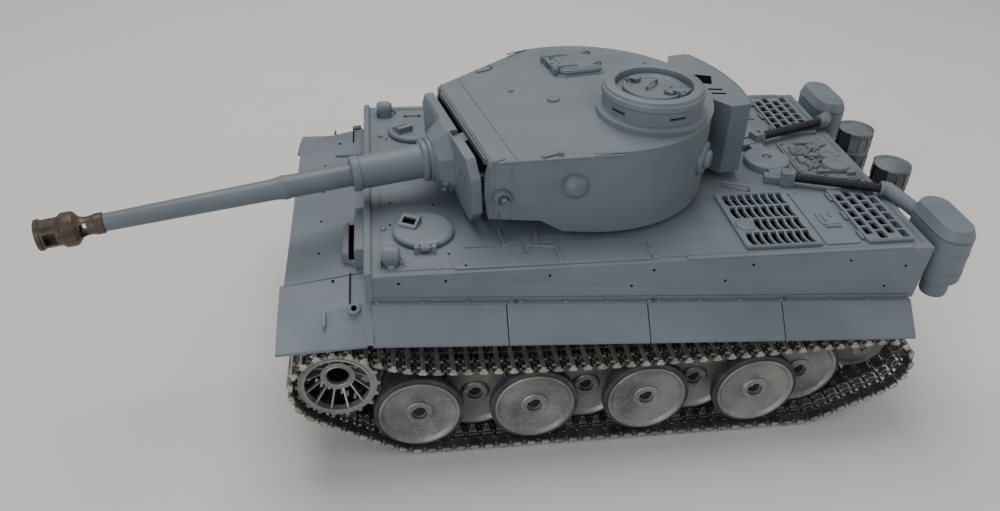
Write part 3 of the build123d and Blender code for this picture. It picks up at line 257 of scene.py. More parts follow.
# Materials --------------------------------------------------------------------------------
class Shader:
    """A small builder of node materials on object coordinates, which are the row's metres."""

    def __init__(self, name, roughness=0.5, metallic=0.0, specular=0.5):
        self.material = bpy.data.materials.new(name)
        self.material.use_nodes = True
        self.nodes = self.material.node_tree.nodes
        self.links = self.material.node_tree.links
        self.bsdf = self.nodes["Principled BSDF"]
        self.bsdf.inputs["Roughness"].default_value = roughness
        self.bsdf.inputs["Metallic"].default_value = metallic
        self.bsdf.inputs["Specular IOR Level"].default_value = specular
        self.place = self.nodes.new("ShaderNodeTexCoord").outputs["Object"]

    def noise(self, scale, detail=3.0, stretch=None):
        """Noise of a given number of features per metre."""
        node = self.nodes.new("ShaderNodeTexNoise")
        node.inputs["Scale"].default_value = scale
        node.inputs["Detail"].default_value = detail
        source = self.place
        if stretch:
            mapping = self.nodes.new("ShaderNodeMapping")
            mapping.inputs["Scale"].default_value = stretch
            self.links.new(source, mapping.inputs["Vector"])
            source = mapping.outputs["Vector"]
        self.links.new(source, node.inputs["Vector"])
        return node.outputs["Fac"]

    def ramp(self, source, low, high, dark=0.0, light=1.0):
        """Map source from low..high to dark..light."""
        node = self.nodes.new("ShaderNodeMapRange")
        node.inputs["From Min"].default_value = low
        node.inputs["From Max"].default_value = high
        node.inputs["To Min"].default_value = dark
        node.inputs["To Max"].default_value = light
        self.links.new(source, node.inputs["Value"])
        return node.outputs["Result"]

    def multiply(self, a, b):
        """Product of two values."""
        node = self.nodes.new("ShaderNodeMath")
        node.operation = "MULTIPLY"
        for value, socket in zip((a, b), node.inputs):
            if isinstance(value, float):
                socket.default_value = value
            else:
                self.links.new(value, socket)
        return node.outputs["Value"]

    def mix(self, share, a, b):
        """Blend two colours, or a colour output and a colour, by share."""
        node = self.nodes.new("ShaderNodeMix")
        node.data_type = "RGBA"
        self.links.new(share, node.inputs["Factor"])
        for value, socket in zip((a, b), (node.inputs[6], node.inputs[7])):
            if isinstance(value, tuple):
                socket.default_value = (*value, 1.0)
            else:
                self.links.new(value, socket)
        return node.outputs[2]

    def edges(self, radius, low=0.02, high=0.25):
        """1 on edges and corners sharper than the radius, 0 on flat areas."""
        bevel = self.nodes.new("ShaderNodeBevel")
        bevel.samples = 4
        bevel.inputs["Radius"].default_value = radius
        geometry = self.nodes.new("ShaderNodeNewGeometry")
        dot = self.nodes.new("ShaderNodeVectorMath")
        dot.operation = "DOT_PRODUCT"
        self.links.new(bevel.outputs["Normal"], dot.inputs[0])
        self.links.new(geometry.outputs["Normal"], dot.inputs[1])
        return self.ramp(dot.outputs["Value"], 1.0 - low, 1.0 - high)

    def bump(self, height, strength, distance, under=None):
        """Raise the surface by height."""
        node = self.nodes.new("ShaderNodeBump")
        node.inputs["Strength"].default_value = strength
        node.inputs["Distance"].default_value = distance
        self.links.new(height, node.inputs["Height"])
        if under is not None:
            self.links.new(under, node.inputs["Normal"])
        return node.outputs["Normal"]

    def finish(self, colour, roughness=None, normal=None):
        """Join the results to the shader and return the material."""
        self.links.new(colour, self.bsdf.inputs["Base Color"])
        if roughness is not None:
            self.links.new(roughness, self.bsdf.inputs["Roughness"])
        if normal is not None:
            self.links.new(normal, self.bsdf.inputs["Normal"])
        return self.material


def moulded_plastic(name, colour, roughness=0.5, variation=0.12):
    """Satin moulded plastic: faint flow marks, dust, fine grain and paler edges, which are a painted
    highlight.
    """
    shader = Shader(name, roughness=roughness, specular=0.45)
    dark = tuple(c * (1 - variation) for c in colour)
    light = tuple(min(1.0, c * (1 + variation)) for c in colour)
    flow = shader.noise(14, detail=4.0, stretch=(1.0, 2.2, 1.6))
    base = shader.mix(shader.ramp(flow, 0.32, 0.68), dark, light)
    specks = shader.noise(900, detail=1.0)
    base = shader.mix(shader.ramp(specks, 0.70, 0.78, 0.0, 0.35), base, tuple(c * 0.55 for c in colour))
    dust = shader.multiply(shader.ramp(shader.noise(60, detail=6.0), 0.50, 0.75), 0.30)
    base = shader.mix(dust, base, tuple(c * 1.15 + 0.02 for c in colour))
    # Paler edges: a painted highlight laid into the colour along every sharp edge
    edge_wear_and_highlight = shader.multiply(shader.edges(0.0006), 0.35)
    base = shader.mix(edge_wear_and_highlight, base, tuple(min(1.0, c * 1.5 + 0.03) for c in colour))
    rough = shader.ramp(shader.noise(45, detail=5.0), 0.3, 0.7, roughness - 0.07, roughness + 0.09)
    grain = shader.bump(shader.noise(2600, detail=2.0), 0.10, 0.0002)
    ripple = shader.bump(shader.noise(110, detail=2.0), 0.06, 0.0008, grain)
    return shader.finish(base, rough, ripple)


def worn_metal(name, dark, bright, metallic=0.9, roughness=0.42, radius=0.0005, wear=1.0, blotch=70):
    """Cast metal with uneven patches, scratches and bright edges."""
    shader = Shader(name, metallic=metallic, roughness=roughness, specular=0.5)
    patches = shader.ramp(shader.noise(blotch, detail=6.0), 0.35, 0.68)
    base = shader.mix(patches, tuple(c * 0.6 for c in dark), tuple(min(1.0, c * 1.35) for c in dark))
    scratches = shader.ramp(shader.noise(420, detail=3.0), 0.55, 0.72, 0.0, 0.5)
    base = shader.mix(scratches, base, tuple((d + b) / 2 for d, b in zip(dark, bright)))
    edge_wear_and_highlight = shader.multiply(shader.edges(radius), wear)
    base = shader.mix(edge_wear_and_highlight, base, bright)
    rough = shader.ramp(shader.noise(160, detail=4.0), 0.3, 0.7, roughness - 0.12, roughness + 0.15)
    grain = shader.bump(shader.noise(1400, detail=4.0), 0.25, 0.0003)
    return shader.finish(base, rough, grain)


def rubber(name, colour=(0.022, 0.022, 0.023), roughness=0.72, bloom=0.01, specular=0.35):
    """Matt dark rubber or soot with a dusty bloom."""
    shader = Shader(name, roughness=roughness, specular=specular)
    dust = shader.ramp(shader.noise(130, detail=5.0), 0.4, 0.75)
    base = shader.mix(dust, colour, tuple(c * 1.9 + bloom for c in colour))
    edge_wear_and_highlight = shader.multiply(shader.edges(0.0005), 0.4)
    base = shader.mix(edge_wear_and_highlight, base, tuple((c + bloom) * 3 for c in colour))
    rough = shader.ramp(shader.noise(300, detail=3.0), 0.3, 0.7, roughness - 0.1, roughness + 0.12)
    grain = shader.bump(shader.noise(1800, detail=3.0), 0.2, 0.0003)
    return shader.finish(base, rough, grain)


HULL = moulded_plastic("hull_plastic_blue_grey", (0.128, 0.146, 0.163))
TURRET_SKIN = moulded_plastic("turret_plastic_blue_grey", (0.124, 0.142, 0.157))
BARREL = moulded_plastic("barrel_plastic", (0.120, 0.136, 0.150), roughness=0.45)
BRAKE = worn_metal("muzzle_brake_bronze", (0.070, 0.050, 0.034), (0.21, 0.17, 0.13), metallic=0.35,
                   roughness=0.42, radius=0.0008, wear=0.6, blotch=90)
TRACK = worn_metal("track_blackened_metal", (0.085, 0.078, 0.070), (0.42, 0.38, 0.33), metallic=0.55,
                   roughness=0.42)
# Paler copy of the track metal for the cleat bars: a painted highlight along the cleat tops, laid into the
# base colour
CLEAT_HIGHLIGHT_METAL = worn_metal("cleat_metal_painted_highlight", (0.34, 0.315, 0.275), (0.72, 0.68, 0.60), metallic=0.55,
                    roughness=0.36, radius=0.0004, blotch=110)
WHEEL = worn_metal("wheel_satin_grey", (0.235, 0.232, 0.215), (0.50, 0.49, 0.46), metallic=0.55,
                   roughness=0.46, radius=0.0006, wear=0.75, blotch=40)
ARM = worn_metal("arm_dark_metal", (0.012, 0.012, 0.012), (0.05, 0.05, 0.05), metallic=0.3, roughness=0.6)
TYRE = rubber("tyre_rubber", (0.036, 0.036, 0.036))
HOSE = rubber("hose_rubber", (0.005, 0.0055, 0.005), roughness=0.5, bloom=0.002)
SOOT = rubber("exhaust_soot", (0.016, 0.016, 0.017), roughness=0.8)
DARK = rubber("shadow_black", (0.0012, 0.0012, 0.0014), roughness=0.95, bloom=0.001, specular=0.05)
INNER = moulded_plastic("inner_plastic_grey", (0.10, 0.11, 0.10), roughness=0.6)
WRAP = moulded_plastic("battery_wrap_blue", (0.03, 0.10, 0.22), roughness=0.35)
MOTOR = worn_metal("motor_can_steel", (0.30, 0.30, 0.31), (0.6, 0.6, 0.6), roughness=0.32)
EXHAUST = worn_metal("exhaust_shield_grey", (0.100, 0.112, 0.122), (0.20, 0.22, 0.24), metallic=0.1,
                     roughness=0.55, radius=0.0005, wear=0.5, blotch=60)
ENGINE = moulded_plastic("engine_deck_dusty", (0.120, 0.130, 0.138), roughness=0.6, variation=0.35)
LENS = moulded_plastic("lamp_lens_pale", (0.42, 0.45, 0.47), roughness=0.2, variation=0.05)


def hull_piece(name, bm, material=HULL, **more):
    """A plastic piece of the hull."""
    make(name, bm, "hull", "hull_plastic", material, **more)


def turret_piece(name, bm, body="turret", material=TURRET_SKIN, **more):
    """A plastic piece drawn in the turret's own frame."""
    make(name, bm, body, "turret_plastic", material, place=TURRET, **more)


# Tracks -----------------------------------------------------------------------------------
def islands(mesh):
    """Vertex positions of each separate shell of a mesh, in millimetres."""
    bm = bmesh.new()
    bm.from_mesh(mesh)
    bmesh.ops.remove_doubles(bm, verts=bm.verts, dist=0.002 * MM)
    seen, shells = set(), []
    for start in bm.verts:
        if start in seen:
            continue
        stack, shell = [start], []
        seen.add(start)
        while stack:
            vert = stack.pop()
            shell.append(vert.co / MM)
            for edge in vert.link_edges:
                other = edge.other_vert(vert)
                if other not in seen:
                    seen.add(other)
                    stack.append(other)
        shells.append(shell)
    bm.free()
    return shells


# Thickness of a link's web and height of the cleat on it
LINK_WEB = 1.5
CLEAT = 1.6
HORN_YS = (97.5, 71.5)


def link_places(node):
    """Middle of each link's inner face and its turn about Y, read from the CAD track."""
    low, high = box_mm(node)
    middle_y = (low.y + high.y) / 2
    half = (high.y - low.y) / 2
    places = []
    for shell in islands(frame["nodes"][node].data):
        plate = [p for p in shell if abs(abs(p.y - middle_y) - half) < 0.1]
        centre = sum(plate, Vector()) / len(plate)
        horns = [p - centre for p in shell if hypot(p.x - centre.x, p.z - centre.z) > 4.6]
        inward = sum(horns, Vector())
        # The plate's section is a long rectangle: its long side is the direction of travel
        xx = sum((p.x - centre.x) ** 2 for p in plate)
        zz = sum((p.z - centre.z) ** 2 for p in plate)
        xz = sum((p.x - centre.x) * (p.z - centre.z) for p in plate)
        angle = 0.5 * atan2(2 * xz, xx - zz)
        normal = Vector((-sin(angle), 0, cos(angle)))
        if normal.dot(inward) < 0:
            normal = -normal
        middle = centre + normal * LINK_WEB / 2
        places.append(Matrix.Translation((middle.x, middle_y, middle.z))
                      @ Matrix.Rotation(atan2(normal.x, normal.z), 4, "Y"))
    return places


def link_shape(half_width, horn_ys):
    """One cast link, inner face up on z = 0: its body, and the cleat bars that touch the ground."""
    bm, bars = bmesh.new(), bmesh.new()
    # Three pads joined by narrower webs, as a casting with two windows
    for y, width, length in ((0, 11.0, 6.2), (half_width - 4.0, 7.4, 6.6), (4.0 - half_width, 7.4, 6.6)):
        add_box(bm, (0, y, -LINK_WEB / 2), (length, width, LINK_WEB))
    for y in (half_width * 0.5 + 0.4, -half_width * 0.5 - 0.4):
        add_box(bm, (0, y, -LINK_WEB / 2 - 0.1), (3.2, 10.0, LINK_WEB - 0.3))
        add_box(bm, (0, y, -LINK_WEB / 2), (6.0, 1.5, LINK_WEB - 0.2))
    # Cleat right across, and the two short bars that meet it at the ends
    add_box(bars, (0, 0, -LINK_WEB - CLEAT / 2 + 0.1), (2.3, 2 * half_width - 1.0, CLEAT + 0.2))
    for side in SIGNS:
        add_box(bars, (-1.9, side * (half_width - 3.6), -LINK_WEB - 0.5), (2.6, 1.5, 1.2))
        add_box(bars, (1.9, side * (half_width - 8.4), -LINK_WEB - 0.5), (2.6, 1.5, 1.2))
        add_box(bars, (0.0, side * (half_width - 0.9), -LINK_WEB * 0.55), (4.2, 1.6, LINK_WEB * 1.5))
        add_box(bm, (0, side * 6.6, -LINK_WEB - 0.4), (5.4, 1.2, 1.0))
    # Knuckles on the pins before and behind, interleaved across the width
    for front, ys in ((1, (-18.6, -9.2, 0, 9.2, 18.6)), (-1, (-13.9, -4.6, 4.6, 13.9))):
        for y in ys:
            add_rod(bm, (front * 3.9, y - 2.0, -LINK_WEB / 2), Y, 4.0, 1.05, sides=8)
    for y in horn_ys:
        add_wedge(bm, (0, y, 2.3), (4.4, 1.9, 4.9), (0.42, 0.6))
        add_wedge(bm, (0, y, 0.3), (5.4, 3.0, 0.8), (0.7, 0.7))
    for part in (bm, bars):
        soften(part, 0.22, segments=1)
    return bm, bars


def make_tracks():
    """Both tracks, each link a copy of the same casting."""
    for side, hand in SIDES:
        node = f"{hand}_track"
        low, high = box_mm(node)
        middle = (low.y + high.y) / 2
        shapes = link_shape((high.y - low.y) / 2, [side * y - middle for y in HORN_YS])
        places = link_places(node)
        # The cleat bars take the paler metal, a painted highlight; the links keep the dark track metal
        for link, name, material, swaps in zip(shapes, ("links", "cleats"), (TRACK, CLEAT_HIGHLIGHT_METAL), ((node,), ())):
            link_mesh = bpy.data.meshes.new("link")
            link.to_mesh(link_mesh)
            link.free()
            track = bmesh.new()
            for place in places:
                before = len(track.verts)
                track.from_mesh(link_mesh)
                track.verts.ensure_lookup_table()
                bmesh.ops.transform(track, matrix=place, verts=track.verts[before:])
            bpy.data.meshes.remove(link_mesh)
            make(f"{hand}_track_{name}", track, "hull", "track_metal", material, replaces=swaps)


# Road wheels, sprockets and idlers --------------------------------------------------------
WHEEL_R = 25.0
RIM_R = 22.4
BORE_R = 3.5
# Distances of the two discs of a station from the middle of the tank
OUTER_ROW, INNER_ROW = (104.0, 78.0), (91.0, 65.0)


def wheel_disc(bm, centre, out, bolts):
    """A dished disc: rolled rim, shallow cone, stepped hub and its ring of bolts."""
    profile = (
        (BORE_R, -3.0), (BORE_R, 0.6), (4.6, 0.6), (4.6, 2.9), (7.0, 2.9), (7.7, 2.3), (8.1, 0.9),
        (9.2, 0.75), (14.0, 1.55), (RIM_R - 3.4, 2.35), (RIM_R - 2.6, 2.75), (RIM_R - 1.9, 3.7),
        (RIM_R - 1.2, 4.15), (RIM_R - 0.3, 4.15), (RIM_R, 3.8), (RIM_R, -3.4), (RIM_R - 0.3, -3.6),
        (RIM_R - 1.5, -3.6), (RIM_R - 2.2, -2.6), (14.0, -0.9), (8.0, -1.6), (7.4, -3.0),
    )
    add_lathe(bm, profile, centre, out, steps=72, closed=True)
    if not bolts:
        return
    for k in range(8):
        add_rod(bm, round_axis(centre, out, 6.0, 2 * pi * k / 8 + 0.2, 2.6), out, 1.0, 0.85, 0.65, sides=6)
    # Raised ribs round the hub and its squared cap
    for k in range(4):
        angle = pi * k / 2 + 0.6
        add_box(bm, round_axis(centre, out, 4.9, angle, 3.0), (0.9, 2.6, 0.9),
                frame_of(out) @ Matrix.Rotation(angle, 4, "Z"))


def make_wheels():
    """Sixteen stations of two discs and tyres, in two interleaved layers."""
    for side, hand in SIDES:
        for number in range(1, 9):
            node = f"{hand}_wheels_{number}"
            hub = joint_mm(f"{node}_spin")[0]
            row = OUTER_ROW if number % 2 else INNER_ROW
            out = Y * side
            discs, tyres = bmesh.new(), bmesh.new()
            for y in row:
                centre = (hub.x, side * y, hub.z)
                wheel_disc(discs, centre, out, bolts=y == row[0])
                add_lathe(tyres, (
                    (RIM_R + 0.02, -3.0), (RIM_R + 0.02, 2.9), (RIM_R + 0.7, 3.0), (WHEEL_R - 0.8, 2.9),
                    (WHEEL_R - 0.25, 2.5), (WHEEL_R, 1.7), (WHEEL_R, -1.7), (WHEEL_R - 0.25, -2.5),
                    (WHEEL_R - 0.8, -2.9), (RIM_R + 0.7, -3.0),
                ), centre, out, steps=80, closed=True)
            add_lathe(discs, ((BORE_R, row[1] + 2.6), (6.0, row[1] + 2.6), (6.0, row[0] - 3.0),
                              (BORE_R, row[0] - 3.0)), (hub.x, 0, hub.z), out, steps=32, closed=True)
            make(f"{node}_discs", discs, node, "wheel_metal", WHEEL, replaces=(node,))
            make(f"{node}_tyres", tyres, node, "wheel_metal", TYRE)


SPROCKET_R = 22.3
SPOKES = 12
HUB_RECESS = 7.0
TEETH = 18


def toothed_ring(bm, centre, out, thick):
    """A sprocket's rim: shouldered teeth outside and an open centre."""
    outline = []
    step = 2 * pi / TEETH
    for k in range(TEETH):
        for share, radius in ((-0.42, SPROCKET_R - 1.3), (-0.20, SPROCKET_R - 1.3),
                              (-0.10, SPROCKET_R + 0.45), (0.10, SPROCKET_R + 0.45),
                              (0.20, SPROCKET_R - 1.3), (0.42, SPROCKET_R - 1.3)):
            outline.append((radius, step * (k + share)))
    inner = SPROCKET_R - 4.3
    count = len(outline)
    rings = []
    for depth in (-thick / 2, thick / 2):
        for bored in (False, True):
            ring = []
            for radius, angle in outline:
                size = inner if bored else radius
                ring.append(bm.verts.new(round_axis(centre, out, size, angle, depth)))
            rings.append(ring)
    low_out, low_in, high_out, high_in = rings
    for i in range(count):
        j = (i + 1) % count
        bm.faces.new((low_in[i], low_in[j], low_out[j], low_out[i]))
        bm.faces.new((high_out[i], high_out[j], high_in[j], high_in[i]))
        bm.faces.new((low_out[i], low_out[j], high_out[j], high_out[i]))
        bm.faces.new((low_in[j], low_in[i], high_in[i], high_in[j]))


def make_sprockets():
    """Front drive sprockets with spokes, two toothed rims and an open hub."""
    for side, hand in SIDES:
        node = f"{hand}_sprocket"
        hub = joint_mm(f"{hand}_drive")[0]
        out = Y * side
        turn = frame_of(out)
        bm = bmesh.new()
        for y, face in zip(OUTER_ROW, (True, False)):
            centre = Vector((hub.x, side * y, hub.z))
            toothed_ring(bm, centre, out, 3.0)
            for radius, half, width, back in ((SPROCKET_R - 3.6, 2.1, 1.3, 0.0),
                                              (9.3, 1.4, 2.4, HUB_RECESS if face else 0.0)):
                add_lathe(bm, ((radius - width, -half - back), (radius, -half - back), (radius, half - back),
                               (radius - width, half - back)), centre, out, steps=64, closed=True)
            for k in range(SPOKES):
                angle = 2 * pi * (k + 0.5) / SPOKES
                spin = turn @ Matrix.Rotation(angle, 4, "Z")
                rim = centre + spin.to_3x3() @ Vector((SPROCKET_R - 4.2, 0, 0.4))
                root = centre + spin.to_3x3() @ Vector((8.6, 0, -HUB_RECESS if face else 0.0))
                along = (rim - root).normalized()
                add_box(bm, (rim + root) / 2, (1.0, 2.0, (rim - root).length),
                        frame_of(along, Y.cross(along)))
            if face:
                for k in range(TEETH):
                    spot = round_axis(centre, out, SPROCKET_R - 2.6, 2 * pi * (k + 0.5) / TEETH, 1.4)
                    add_rod(bm, spot, out, 0.5, 0.6, 0.5, sides=6)
        add_lathe(bm, (
            (6.0, 31.0), (6.0, 36.4), (6.6, 36.8), (7.4, 36.2), (8.2, 35.6), (8.6, 34.0), (8.6, 0.0),
            (3.0, 0.0), (3.0, -11.0), (0.0, -11.0), (0.0, 31.0),
        ), (hub.x, side * 62.0, hub.z), out, steps=48)
        close_caps(bm)
        make(f"{hand}_sprocket_wheel", bm, node, "wheel_metal", WHEEL, replaces=(node,), bevel=0.18)
        bore = bmesh.new()
        add_lathe(bore, ((5.9, 31.1), (5.9, 34.2), (4.6, 33.4), (0, 33.2)), (hub.x, side * 62.0, hub.z), out,
                  steps=36)
        close_caps(bore)
        make(f"{hand}_sprocket_bore", bore, node, "wheel_metal", DARK)


def close_caps(bm):
    """Fill any open rim left by a turned profile."""
    open_edges = [e for e in bm.edges if len(e.link_faces) == 1]
    if open_edges:
        bmesh.ops.holes_fill(bm, edges=open_edges, sides=0)


def make_idlers():
    """Rear idlers: two flanges on a hub with a small cap."""
    for side, hand in SIDES:
        node = f"{hand}_idler"
        hub = joint_mm(f"{hand}_idler_spin")[0]
        radius = (box_mm(node)[1].z - box_mm(node)[0].z) / 2
        out = Y * side
        bm = bmesh.new()
        add_lathe(bm, (
            (0.0, 53.0), (3.0, 53.0), (3.0, 62.5), (5.5, 62.5), (5.5, 77.0), (radius - 3.2, 76.0),
            (radius - 2.4, 73.2), (radius - 0.4, 73.0), (radius, 73.5), (radius, 77.5),
            (radius - 1.2, 78.2), (radius - 1.2, 81.2), (radius, 82.0), (radius, 86.0),
            (radius - 0.5, 86.4), (radius - 2.2, 86.2), (radius - 3.2, 83.6), (8.2, 82.2), (7.6, 84.4),
            (6.2, 84.8), (6.2, 91.4), (5.6, 92.0), (2.0, 92.0), (2.0, 90.0), (0.0, 90.0),
        ), (hub.x, 0, hub.z), out, steps=72)
        for k in range(6):
            spot = round_axis((hub.x, side * 92.0, hub.z), out, 4.1, 2 * pi * k / 6, -0.3)
            add_rod(bm, spot, out, 0.5, 0.55, sides=6)
        make(f"{hand}_idler_wheel", bm, node, "wheel_metal", WHEEL, replaces=(node,))


def cut(bm, cutter):
    """The mesh with the cutter's volume taken out."""
    pieces = []
    for name, part in (("whole", bm), ("cutter", cutter)):
        bmesh.ops.recalc_face_normals(part, faces=part.faces)
        mesh = bpy.data.meshes.new(name)
        part.to_mesh(mesh)
        part.free()
        pieces.append(new_object(name, mesh))
    whole, tool = pieces
    carve = whole.modifiers.new("cut", "BOOLEAN")
    carve.object = tool
    carve.operation = "DIFFERENCE"
    carve.solver = "EXACT"
    carve.use_self = True
    result = bpy.data.meshes.new_from_object(whole.evaluated_get(bpy.context.evaluated_depsgraph_get()))
    out = bmesh.new()
    out.from_mesh(result)
    bpy.data.meshes.remove(result)
    for piece in pieces:
        mesh = piece.data
        bpy.data.objects.remove(piece)
        bpy.data.meshes.remove(mesh)
    return out


# Hull mouldings and their fittings --------------------------------------------------------
def moulding(node, body, slot, material, width, sharp=ROUND_SHARP):
    """A CAD moulding with the rounded edges that it gets from its mould."""
    bm = copy_of(node)
    soften(bm, width)
    make(f"{node}_moulding", bm, body, slot, material, replaces=(node,), sharp=sharp)


SKIRT_TOP = (box_mm("side_skirts")[1].z, box_mm("side_skirts")[0].z + 15.9)
SKIRT_ENDS = (box_mm("side_skirts")[1].x, box_mm("side_skirts")[0].x)
WALL_Y = box_mm("upper_hull")[1].y


def skirt_z(x):
    """Height of the skirts' hinge line at x."""
    share = (SKIRT_ENDS[0] - x) / (SKIRT_ENDS[0] - SKIRT_ENDS[1])
    return SKIRT_TOP[0] + (SKIRT_TOP[1] - SKIRT_TOP[0]) * share


def dome(bm, centre, out, radius, height):
    """A low rivet head."""
    add_lathe(bm, ((radius, -0.2), (radius, height * 0.35), (radius * 0.75, height * 0.8),
                   (radius * 0.35, height), (0, height)), centre, out, steps=10)


GLACIS = (Vector((80.0, 0, 104.5)), Vector((126.0, 0, 97.0)))


def glacis_z(x):
    """Height of the sloping bow plate at x."""
    share = (x - GLACIS[0].x) / (GLACIS[1].x - GLACIS[0].x)
    return GLACIS[0].z + (GLACIS[1].z - GLACIS[0].z) * share


def make_mouldings():
    """Hull, skirts and mudguards, and the hinge strips of the skirts."""
    for node, width in (("upper_hull", 0.45), ("lower_hull", 0.6), ("side_skirts", 0.25), ("mudguards", 0.3)):
        moulding(node, "hull", "hull_plastic", HULL, width, sharp=FLAT_SHARP)
    strip = bmesh.new()
    slope = atan2(SKIRT_TOP[0] - SKIRT_TOP[1], SKIRT_ENDS[0] - SKIRT_ENDS[1])
    panel = (SKIRT_ENDS[0] - SKIRT_ENDS[1]) / 4
    for side in SIGNS:
        for k in range(4):
            x = SKIRT_ENDS[0] - panel * (k + 0.5)
            turn = Matrix.Rotation(-slope, 4, "Y")
            add_box(strip, (x, side * (WALL_Y + 1.7), skirt_z(x) + 0.25), (panel - 1.6, 2.6, 0.8), turn)
            add_box(strip, (x, side * (WALL_Y + 0.5), skirt_z(x) + 1.4), (panel - 1.6, 0.8, 2.4), turn)
    hull_piece("skirt_hinge_strips", strip, bevel=0.18)


def make_screws():
    """Domed screw heads along the skirts and on the deck."""
    panel = (SKIRT_ENDS[0] - SKIRT_ENDS[1]) / 4
    screws = bmesh.new()
    for side in SIGNS:
        for k in range(4):
            for share in (0.035, 0.35, 0.655, 0.965):
                x = SKIRT_ENDS[0] - panel * (k + share)
                dome(screws, (x, side * (WALL_Y + 1.8), skirt_z(x) + 0.6), Z, 1.0, 0.8)
    for x in (72, -212):
        for y in (-30, 30):
            dome(screws, (x, y, DECK_Z), Z, 1.3, 0.9)
    for side in SIGNS:
        dome(screws, (45.2, side * 94.6, DECK_Z), Z, 1.1, 0.8)
        dome(screws, (72.3, side * 54.9, DECK_Z), Z, 1.5, 1.2)
    make("hull_screw_heads", screws, "hull", "screw_steel", HULL, replaces=("hull_screws",))


def make_pits():
    """Dark screw holes in the roof, side walls and bow plate, and the mudguards' open joints."""
    pits = bmesh.new()
    for side in SIGNS:
        for x, y in ((68.2, 27.7), (44.2, 31.4), (68.7, 50.7), (38.9, 81.0), (31.0, 92.2)):
            dome(pits, (x, side * y, DECK_Z), Z, 0.75, 0.3)
        for x, z in ((65.8, 112.2), (42.0, 112.3), (-11.8, 112.3), (-56.0, 102.6), (-67.0, 112.1),
                     (-121.3, 112.1), (-176.1, 111.4), (-209.1, 105.8), (-107.3, 102.6), (-200.2, 92.8)):
            dome(pits, (x, side * WALL_Y, z), Y * side, 0.75, 0.3)
        for x, y in ((108.4, 16.8), (108.4, 49.8), (100.0, 77.7)):
            dome(pits, (x, side * y, glacis_z(x)), Z, 0.75, 0.35)
        # Open joint beside the mudguard, which falls away outward
        seam = [Vector((90.8, side * y, z)) for y, z in ((75.0, 103.3), (88.0, 102.9), (98.4, 101.2))]
        add_tube(pits, seam, 0.4, sides=6)
    hull_piece("hull_pits", pits, DARK)


def make_deck_bars():
    """Bar over the driver's plate, weld beads and the bars of the tool stowage."""
    bars = bmesh.new()
    # Bevelled bar along the top of the driver's plate, and weld beads below and beside it
    add_wedge(bars, (DECK_FRONT_X + 0.9, 0, DECK_Z + 1.7), (4.2, 2 * WALL_Y - 1, 1.6), (0.5, 0.995))
    for side in SIGNS:
        for x in (74.5, -219.0):
            add_box(bars, (x, side * 52.0, DECK_Z + 0.25), (1.0, 80.0, 0.6))
        add_box(bars, ((DECK_FRONT_X - 222) / 2, side * (WALL_Y - 4.6), DECK_Z + 0.2), (286, 0.9, 0.5))
        corner = [(DECK_FRONT_X + 0.6, side * (WALL_Y - 1), z) for z in (104, 108, 112, 116)]
        add_tube(bars, corner, 0.7, sides=8)
        # Short round bars of the tool stowage, set between the two weld beads
        for (x0, y0), (x1, y1) in (((10.3, 60.3), (9.2, 76.0)), ((-9.3, 64.3), (-8.9, 74.3)),
                                   ((-17.8, 80.6), (-18.7, 93.8)), ((-68.1, 79.6), (-68.6, 93.8)),
                                   ((-2.9, 77.0), (-17.8, 80.6))):
            ends = [Vector((x0, side * y0, DECK_Z + 0.2)), Vector((x1, side * y1, DECK_Z + 0.2))]
            add_tube(bars, [ends[0].lerp(ends[1], k / 6) for k in range(7)], 0.9, sides=10,
                     radii=[0.95, 0.8, 1.0, 0.8, 1.0, 0.8, 0.95])
        for x, y in ((9.2, 76.0), (-3.0, 78.0), (-18.7, 93.8), (-68.6, 93.8)):
            dome(bars, (x, side * y, DECK_Z), Z, 1.6, 1.2)
    hull_piece("deck_bars", bars, bevel=0.2)


def make_mudguard_fittings():
    """Stays, wing nuts, cover strips, flanges, end posts and rings of the mudguards."""
    clips, ring_holes = bmesh.new(), bmesh.new()
    for side in SIGNS:
        # Folded stay and wing nut on each mudguard, and the bracket at the skirt's front end
        add_box(clips, (104, side * 104, 96.2), (1.2, 8.0, 1.4), Matrix.Rotation(radians(side * -20), 4, "X"))
        add_rod(clips, (104, side * 107, 93.0), Z, 2.6, 0.7, sides=10)
        add_box(clips, (104, side * 107, 95.6), (0.8, 3.6, 1.4))
        # Cover strip over the joint between the glacis and the mudguard
        add_box(clips, (104.4, side * 73.6, glacis_z(104.4) - 0.1), (42.0, 2.4, 0.5),
                Matrix.Rotation(atan2(7.5, 46.0), 4, "Y"))
        # Flange that closes the joint between the mudguard and the first skirt, and the plate's end post
        add_box(clips, (81.4, side * 107.2, 94.6), (3.6, 22.4, 1.6),
                Matrix.Rotation(radians(side * -37.8), 4, "X"))
        add_box(clips, (81.0, side * (WALL_Y - 0.8), 109.6), (3.8, 2.2, 15.6))
        ring, out = (88.6, side * 101.4, 100.2), (0.1, side * 0.6, 0.8)
        add_lathe(clips, ((1.5, -0.6), (3.2, -0.6), (3.0, 1.6), (1.5, 1.6)), ring, out, steps=20, closed=True)
        add_lathe(ring_holes, ((0.0, -0.4), (1.6, -0.4), (1.6, 0.9), (0.0, 0.9)), ring, out, steps=20)
    hull_piece("mudguard_clips", clips, bevel=0.15)
    hull_piece("mudguard_ring_holes", ring_holes, DARK)


# The photograph shows the visor wider and further out than the CAD plate it stands for
VISOR_Y, VISOR_WIDTH = 50.0, 42.0


